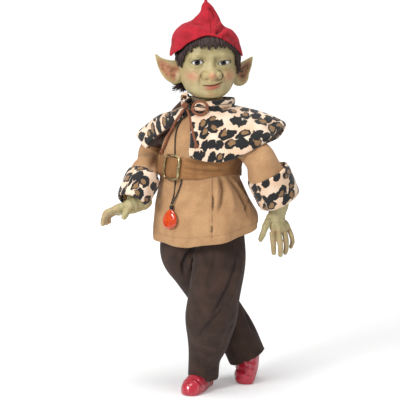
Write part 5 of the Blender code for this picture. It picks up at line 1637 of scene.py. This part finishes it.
def add_collar():
    """A rolled plush collar round the neck, which stands on the cape."""
    faces = band_faces(*CAPE_SHAPE, False, False)
    tree = BVHTree.FromPolygons([Vector(point) for point in cape_top.reshape(-1, 3)], faces)
    angles = np.radians(np.linspace(-33, 289, 220))
    tops = []
    for angle in angles:
        heights = []
        for radius in np.linspace(-0.5, COLLAR_THICKNESS + 0.5, 6) + COLLAR_RADIUS:
            hit = tree.ray_cast(Vector(around(angle, radius, 420)), Vector((0, 0, -1)))
            heights.append(hit[0].z if hit[0] else 340)
        tops.append(max(heights))
    base = blur(np.array(tops)[None, :], 14)[0] + COLLAR_GAP
    turn = full_turn(48)[None, :]
    c, s = np.cos(turn), np.sin(turn)
    wide = 0.5 * COLLAR_THICKNESS + 0.8
    middle_r, middle_h = COLLAR_RADIUS + wide + 0.3, 0.5 * COLLAR_HEIGHT
    height = middle_h * (1 + boxy(s, 0.8))
    radius = middle_r + wide * boxy(c, 0.8) + 0.7 * ramp(height, 3, 10)
    share = np.linspace(0, 1, len(angles))[:, None]
    inward = np.clip((0.012 - np.minimum(share, 1 - share)) / 0.012, 0, 1)
    ends = np.sqrt(np.clip(1 - inward**2, 0.06, 1))
    radius = middle_r + (radius - middle_r) * ends
    height = middle_h + (height - middle_h) * ends
    wobble = 0.35 * waves(angles[:, None] * 5 + 1.5 * c, 41)
    grid = around(angles[:, None], radius + wobble, base[:, None] + height)
    girth = 0.5 * turn / math.pi * 32
    at = np.stack(np.broadcast_arrays(700 + angles[:, None] * COLLAR_RADIUS, 90 + girth), axis=-1)
    solid("plush_collar", grid, LEOPARD, ["collar"], print_marks(at))


add_collar()


# Pixels of the two edges of the lining that shows beside the tunic's opening
FACING_EDGES = (
    [(180, 101), (171, 111), (165, 123), (159, 136), (150, 146)],
    [(188, 106.5), (179, 117), (173.5, 126), (168, 138), (160, 148)],
)


def add_facing():
    """The strip of lining that shows below the wing's front edge. It lies on the tunic."""
    rows, columns = 50, 9
    left, right = (curve_points(edge, rows) for edge in FACING_EDGES)
    tree = node_tree("tunic")
    reach = np.zeros((rows, columns))
    ways = np.zeros((rows, columns, 3))
    for i in range(rows):
        for j in range(columns):
            px, py = left[i] + (right[i] - left[i]) * j / (columns - 1)
            ways[i, j] = unit(spot(px, py, 0) - EYE_POINT)
            hit = tree.ray_cast(Vector(EYE_POINT), Vector(ways[i, j]))
            reach[i, j] = hit[3] if hit[0] else DISTANCE
    reach = blur(np.minimum(reach, np.median(reach) + 60), 4) - 2.6
    grid = EYE_POINT + reach[..., None] * ways
    cloth("satin_facing", grid, 0.9, LINING, closed=False, flip=True)


def add_collar_roll():
    """The collar's end, rolled into a small loop, with a dark core in its middle that stands for the shade
    inside the roll.
    """
    middle = spot(185.2, 97.4, -50)
    way = unit(EYE_POINT - middle)
    path = facing_loop(middle, way, 3.9, 4.4, 60)
    path = path + 0.5 * np.sin(2 * full_turn(60))[:, None] * way
    points, faces = joined([(hoop(path, 1.9, 20, np.broadcast_to(way, path.shape)), True)])
    at = np.array((330, 9)) + 1.3 * points[:, [0, 2]]
    piece("rolled_collar_end", points, faces, LEOPARD, (), print_marks(at))
    # A dark solid in the lining's colour fills the loop's hole as painted shade
    core = middle - np.outer(np.linspace(1.0, 8.0, 8), way)
    solid("collar_roll_shade_core", tube(core, 2.6, 24), LINING)


add_facing()
add_collar_roll()


# Belt and buckle

BELT_Z, BELT_HEIGHT = 287.0, 25.0
BUCKLE_TURN, BUCKLE_WRAP = math.radians(104), 0.78
BUCKLE_WIDTH, BUCKLE_HEIGHT = 23, 30
TUNNEL_TURN = math.radians(96)
WAIST_DEPTH = 37.0
BELT_FOLDS = (
    (seen([(181, 160), (196, 161), (212, 163), (226, 166)]), -1.4, 1.3),
    (seen([(181, 167), (198, 169), (214, 169.5), (228, 169)]), -1.2, 1.2),
    (seen([(181, 172.5), (195, 173.5), (208, 172.5)]), -0.8, 1.1),
    (seen([(183, 163.5), (198, 165), (216, 166.5)]), 1.0, 1.6),
    (seen([(183, 157.5), (200, 157.5), (215, 160)]), 0.8, 1.5),
)


def belt_lift(turn):
    """The belt stands off the tunic where the pendant's cord passes behind it."""
    away = (np.asarray(turn) - TUNNEL_TURN + math.pi) % (2 * math.pi) - math.pi
    return 0.45 + 2.4 * np.exp(-((away / math.radians(13)) ** 4))


def add_belt():
    """A soft strap, narrower towards the doll's left, with folds that gather at the buckle, painted shade
    in the folds and the cape's painted shadow.
    """
    turn = full_turn(360)[None, :]
    share = np.linspace(-0.5, 0.5, 24)[:, None] + 0 * turn
    thin = ramp(np.cos(turn), 0.25, 0.8) * ramp(np.sin(turn), -0.5, 0.2)
    heights = BELT_Z + BELT_HEIGHT * (share * (1 - 0.2 * thin) + 0.1 * thin)
    grid = body_grid(heights, turn, TUNIC_OUTSIDE + 2.0, 0.0, belt_lift(turn))
    out = -normals(grid)
    x, z = grid[..., 0], grid[..., 2]
    facing = ramp(-out[..., 1], 0.0, 0.3)
    # Painted shade in the hollows of the folds
    push, dark = folded(x, z, facing, BELT_FOLDS, 0.2, 0.22)
    push = push + 0.6 * (1 - (2 * share) ** 4)
    # Painted shadow of the cape over the belt, deeper towards the doll's left
    dark = dark + 0.30 * ramp(x, 20, 46) * facing
    creases = np.sin(share * 19 + 1.2 * waves(turn * 4, 51)) * ramp(out[..., 1], -0.3, 0.4)
    push = push + 0.5 * creases + 0.3 * waves(turn * 14 + share * 5, 52)
    grid = grid + push[..., None] * out
    cloth("suede_belt", grid, 2.0, BELT_SUEDE, ["belt"], flip=True, dark=dark)


def on_body(turn, z, grow, flare=0.0):
    """One point over the body's surface."""
    return body_grid([z], np.array([[turn]]), grow, flare)[0, 0]


def add_buckle():
    """A cast frame round the belt: thin on three sides, with a broad bright bar on the right."""
    path, thick = [], []
    for angle in full_turn(160):
        c, s = math.cos(angle), math.sin(angle)
        across = 0.5 * BUCKLE_WIDTH * boxy(c, 0.42)
        up = 0.5 * BUCKLE_HEIGHT * boxy(s, 0.42)
        turn = BUCKLE_TURN - BUCKLE_WRAP * across / (WAIST_DEPTH + 6)
        lift = TUNIC_OUTSIDE + float(belt_lift(turn)) + 4.55
        path.append(on_body(turn, BELT_Z + 1 + up, lift))
        thick.append(1.3 + 0.9 * float(ramp(c, 0.6, 0.95)))
    outward = unit(on_body(BUCKLE_TURN, BELT_Z, 30) - on_body(BUCKLE_TURN, BELT_Z, 0))
    rings = hoop(np.array(path), np.array(thick), 20, outward)
    points, faces = joined([(rings, True)])
    piece("cast_buckle", points, faces, BRASS, ["buckle"])


add_belt()
add_buckle()


# Lace bow

def node_centre(name):
    """Middle of one of the part's solids, in the figure's millimetres."""
    low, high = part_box(name)
    return (0.5 * (np.array(low) + np.array(high)) - ORIGIN) / MM


def add_knot(name, node, radius, seed):
    """A small overhand knot: one strand wound twice round itself."""
    centre = node_centre(node)
    angle = full_turn(150)
    ways = np.stack([np.cos(2 * angle) * (2 + np.cos(3 * angle)), np.sin(3 * angle) * 1.3,
                     np.sin(2 * angle) * (2 + np.cos(3 * angle))], axis=1)
    spin = seed * 0.9
    turned = np.stack([ways[:, 0] * math.cos(spin) - ways[:, 2] * math.sin(spin), ways[:, 1],
                       ways[:, 0] * math.sin(spin) + ways[:, 2] * math.cos(spin)], axis=1)
    strand = 0.42 * radius
    path = centre + turned * (radius - strand) / 3.0
    core = centre + np.outer(np.linspace(-0.6, 0.6, 12) * radius, (0, 0, 1))
    parts = [(hoop(path, strand, 14, unit(path - centre)), True), (tube(core, 0.55 * radius, 14), False)]
    points, faces = joined(parts)
    return piece(name, points, faces, LACE, [node])


def add_loop():
    """The bow's one loop, a flat lace that stands open towards the viewer."""
    tree = node_tree("lace_loop")
    way = unit((-0.25, -0.95, 0.15))
    path = facing_loop(node_centre("lace_loop"), way, 9.5, 8.5, 120)
    path = np.array([tree.find_nearest(Vector(point))[0] for point in path])
    for _ in range(30):
        path = 0.5 * path + 0.25 * (np.roll(path, 1, axis=0) + np.roll(path, -1, axis=0))
    points, faces = joined([(hoop(path, 1.6, 16, np.broadcast_to(way, path.shape)), True)])
    piece("bow_loop", points, faces, LACE, ["lace_loop"])


add_knot("bow_knot", "lace_knot", 4.4, 1)
add_loop()
end_knots = {side: add_knot(f"end_knot_{side}", f"lace_end_{side}", 3.0, 2) for side in ("left", "right")}


# Pendant

PENDANT_TURN, PENDANT_Z = math.radians(99.5), 227.5
PENDANT_LENGTH, PENDANT_HALF_WIDTH, PENDANT_HALF_DEPTH = 24, 11, 3.5


def add_pendant():
    """A flat polished teardrop and the cord wound round its top. Both lie flat to the tunic."""
    def over_tunic(turn, rise):
        """A point on the tunic near the pendant, at some degrees and millimetres from its middle."""
        return on_body(PENDANT_TURN + math.radians(turn), PENDANT_Z + rise, TUNIC_OUTSIDE, HEM_FLARE)

    across = unit(over_tunic(14, 0) - over_tunic(-14, 0))
    down = unit(over_tunic(0, -11) - over_tunic(0, 11))
    out = unit(np.cross(across, down))
    down = np.cross(out, across)
    angles = full_turn(64)[None, :, None]

    def rings(middle, along, wide, deep):
        """Rings across the pendant's length, with their places along it, half widths and half depths."""
        along, wide, deep = (values[:, None, None] for values in (along, wide, deep))
        return middle + along * down + wide * np.cos(angles) * across + deep * np.sin(angles) * out

    steps = np.linspace(0, 1, 60)
    known = (0, 0.06, 0.2, 0.4, 0.62, 0.8, 0.94, 1)
    widths = smooth(known, (0.16, 0.34, 0.66, 0.92, 1.0, 0.88, 0.5, 0.05), steps)
    depths = np.minimum(1, 1.4 * widths) ** 0.8
    body = rings(node_centre("pendant"), PENDANT_LENGTH * (steps - 0.5), PENDANT_HALF_WIDTH * widths,
                 PENDANT_HALF_DEPTH * depths)
    pendant = solid("amber_drop", body, AMBER, ["pendant"])
    steps = np.linspace(0, 1, 80)
    coil = 2.25 + 0.4 * np.abs(np.sin(steps * math.pi * 5))
    coil = coil * np.sqrt(np.clip(1 - np.abs(2 * steps - 1) ** 6, 0.05, 1))
    wrap = rings(node_centre("pendant_wrap"), 5.2 * (0.5 - steps), coil, coil)
    return pendant, solid("wound_wrap", wrap, WAX, ["pendant_wrap"])


pendant, wrap = add_pendant()


# Stuffed limbs inside the clothes keep the part's own solids

for name in ("torso", "arm_left", "arm_right", "leg_left", "leg_right"):
    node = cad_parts[name]
    node.data.materials.clear()
    node.data.materials.append(COTTON)
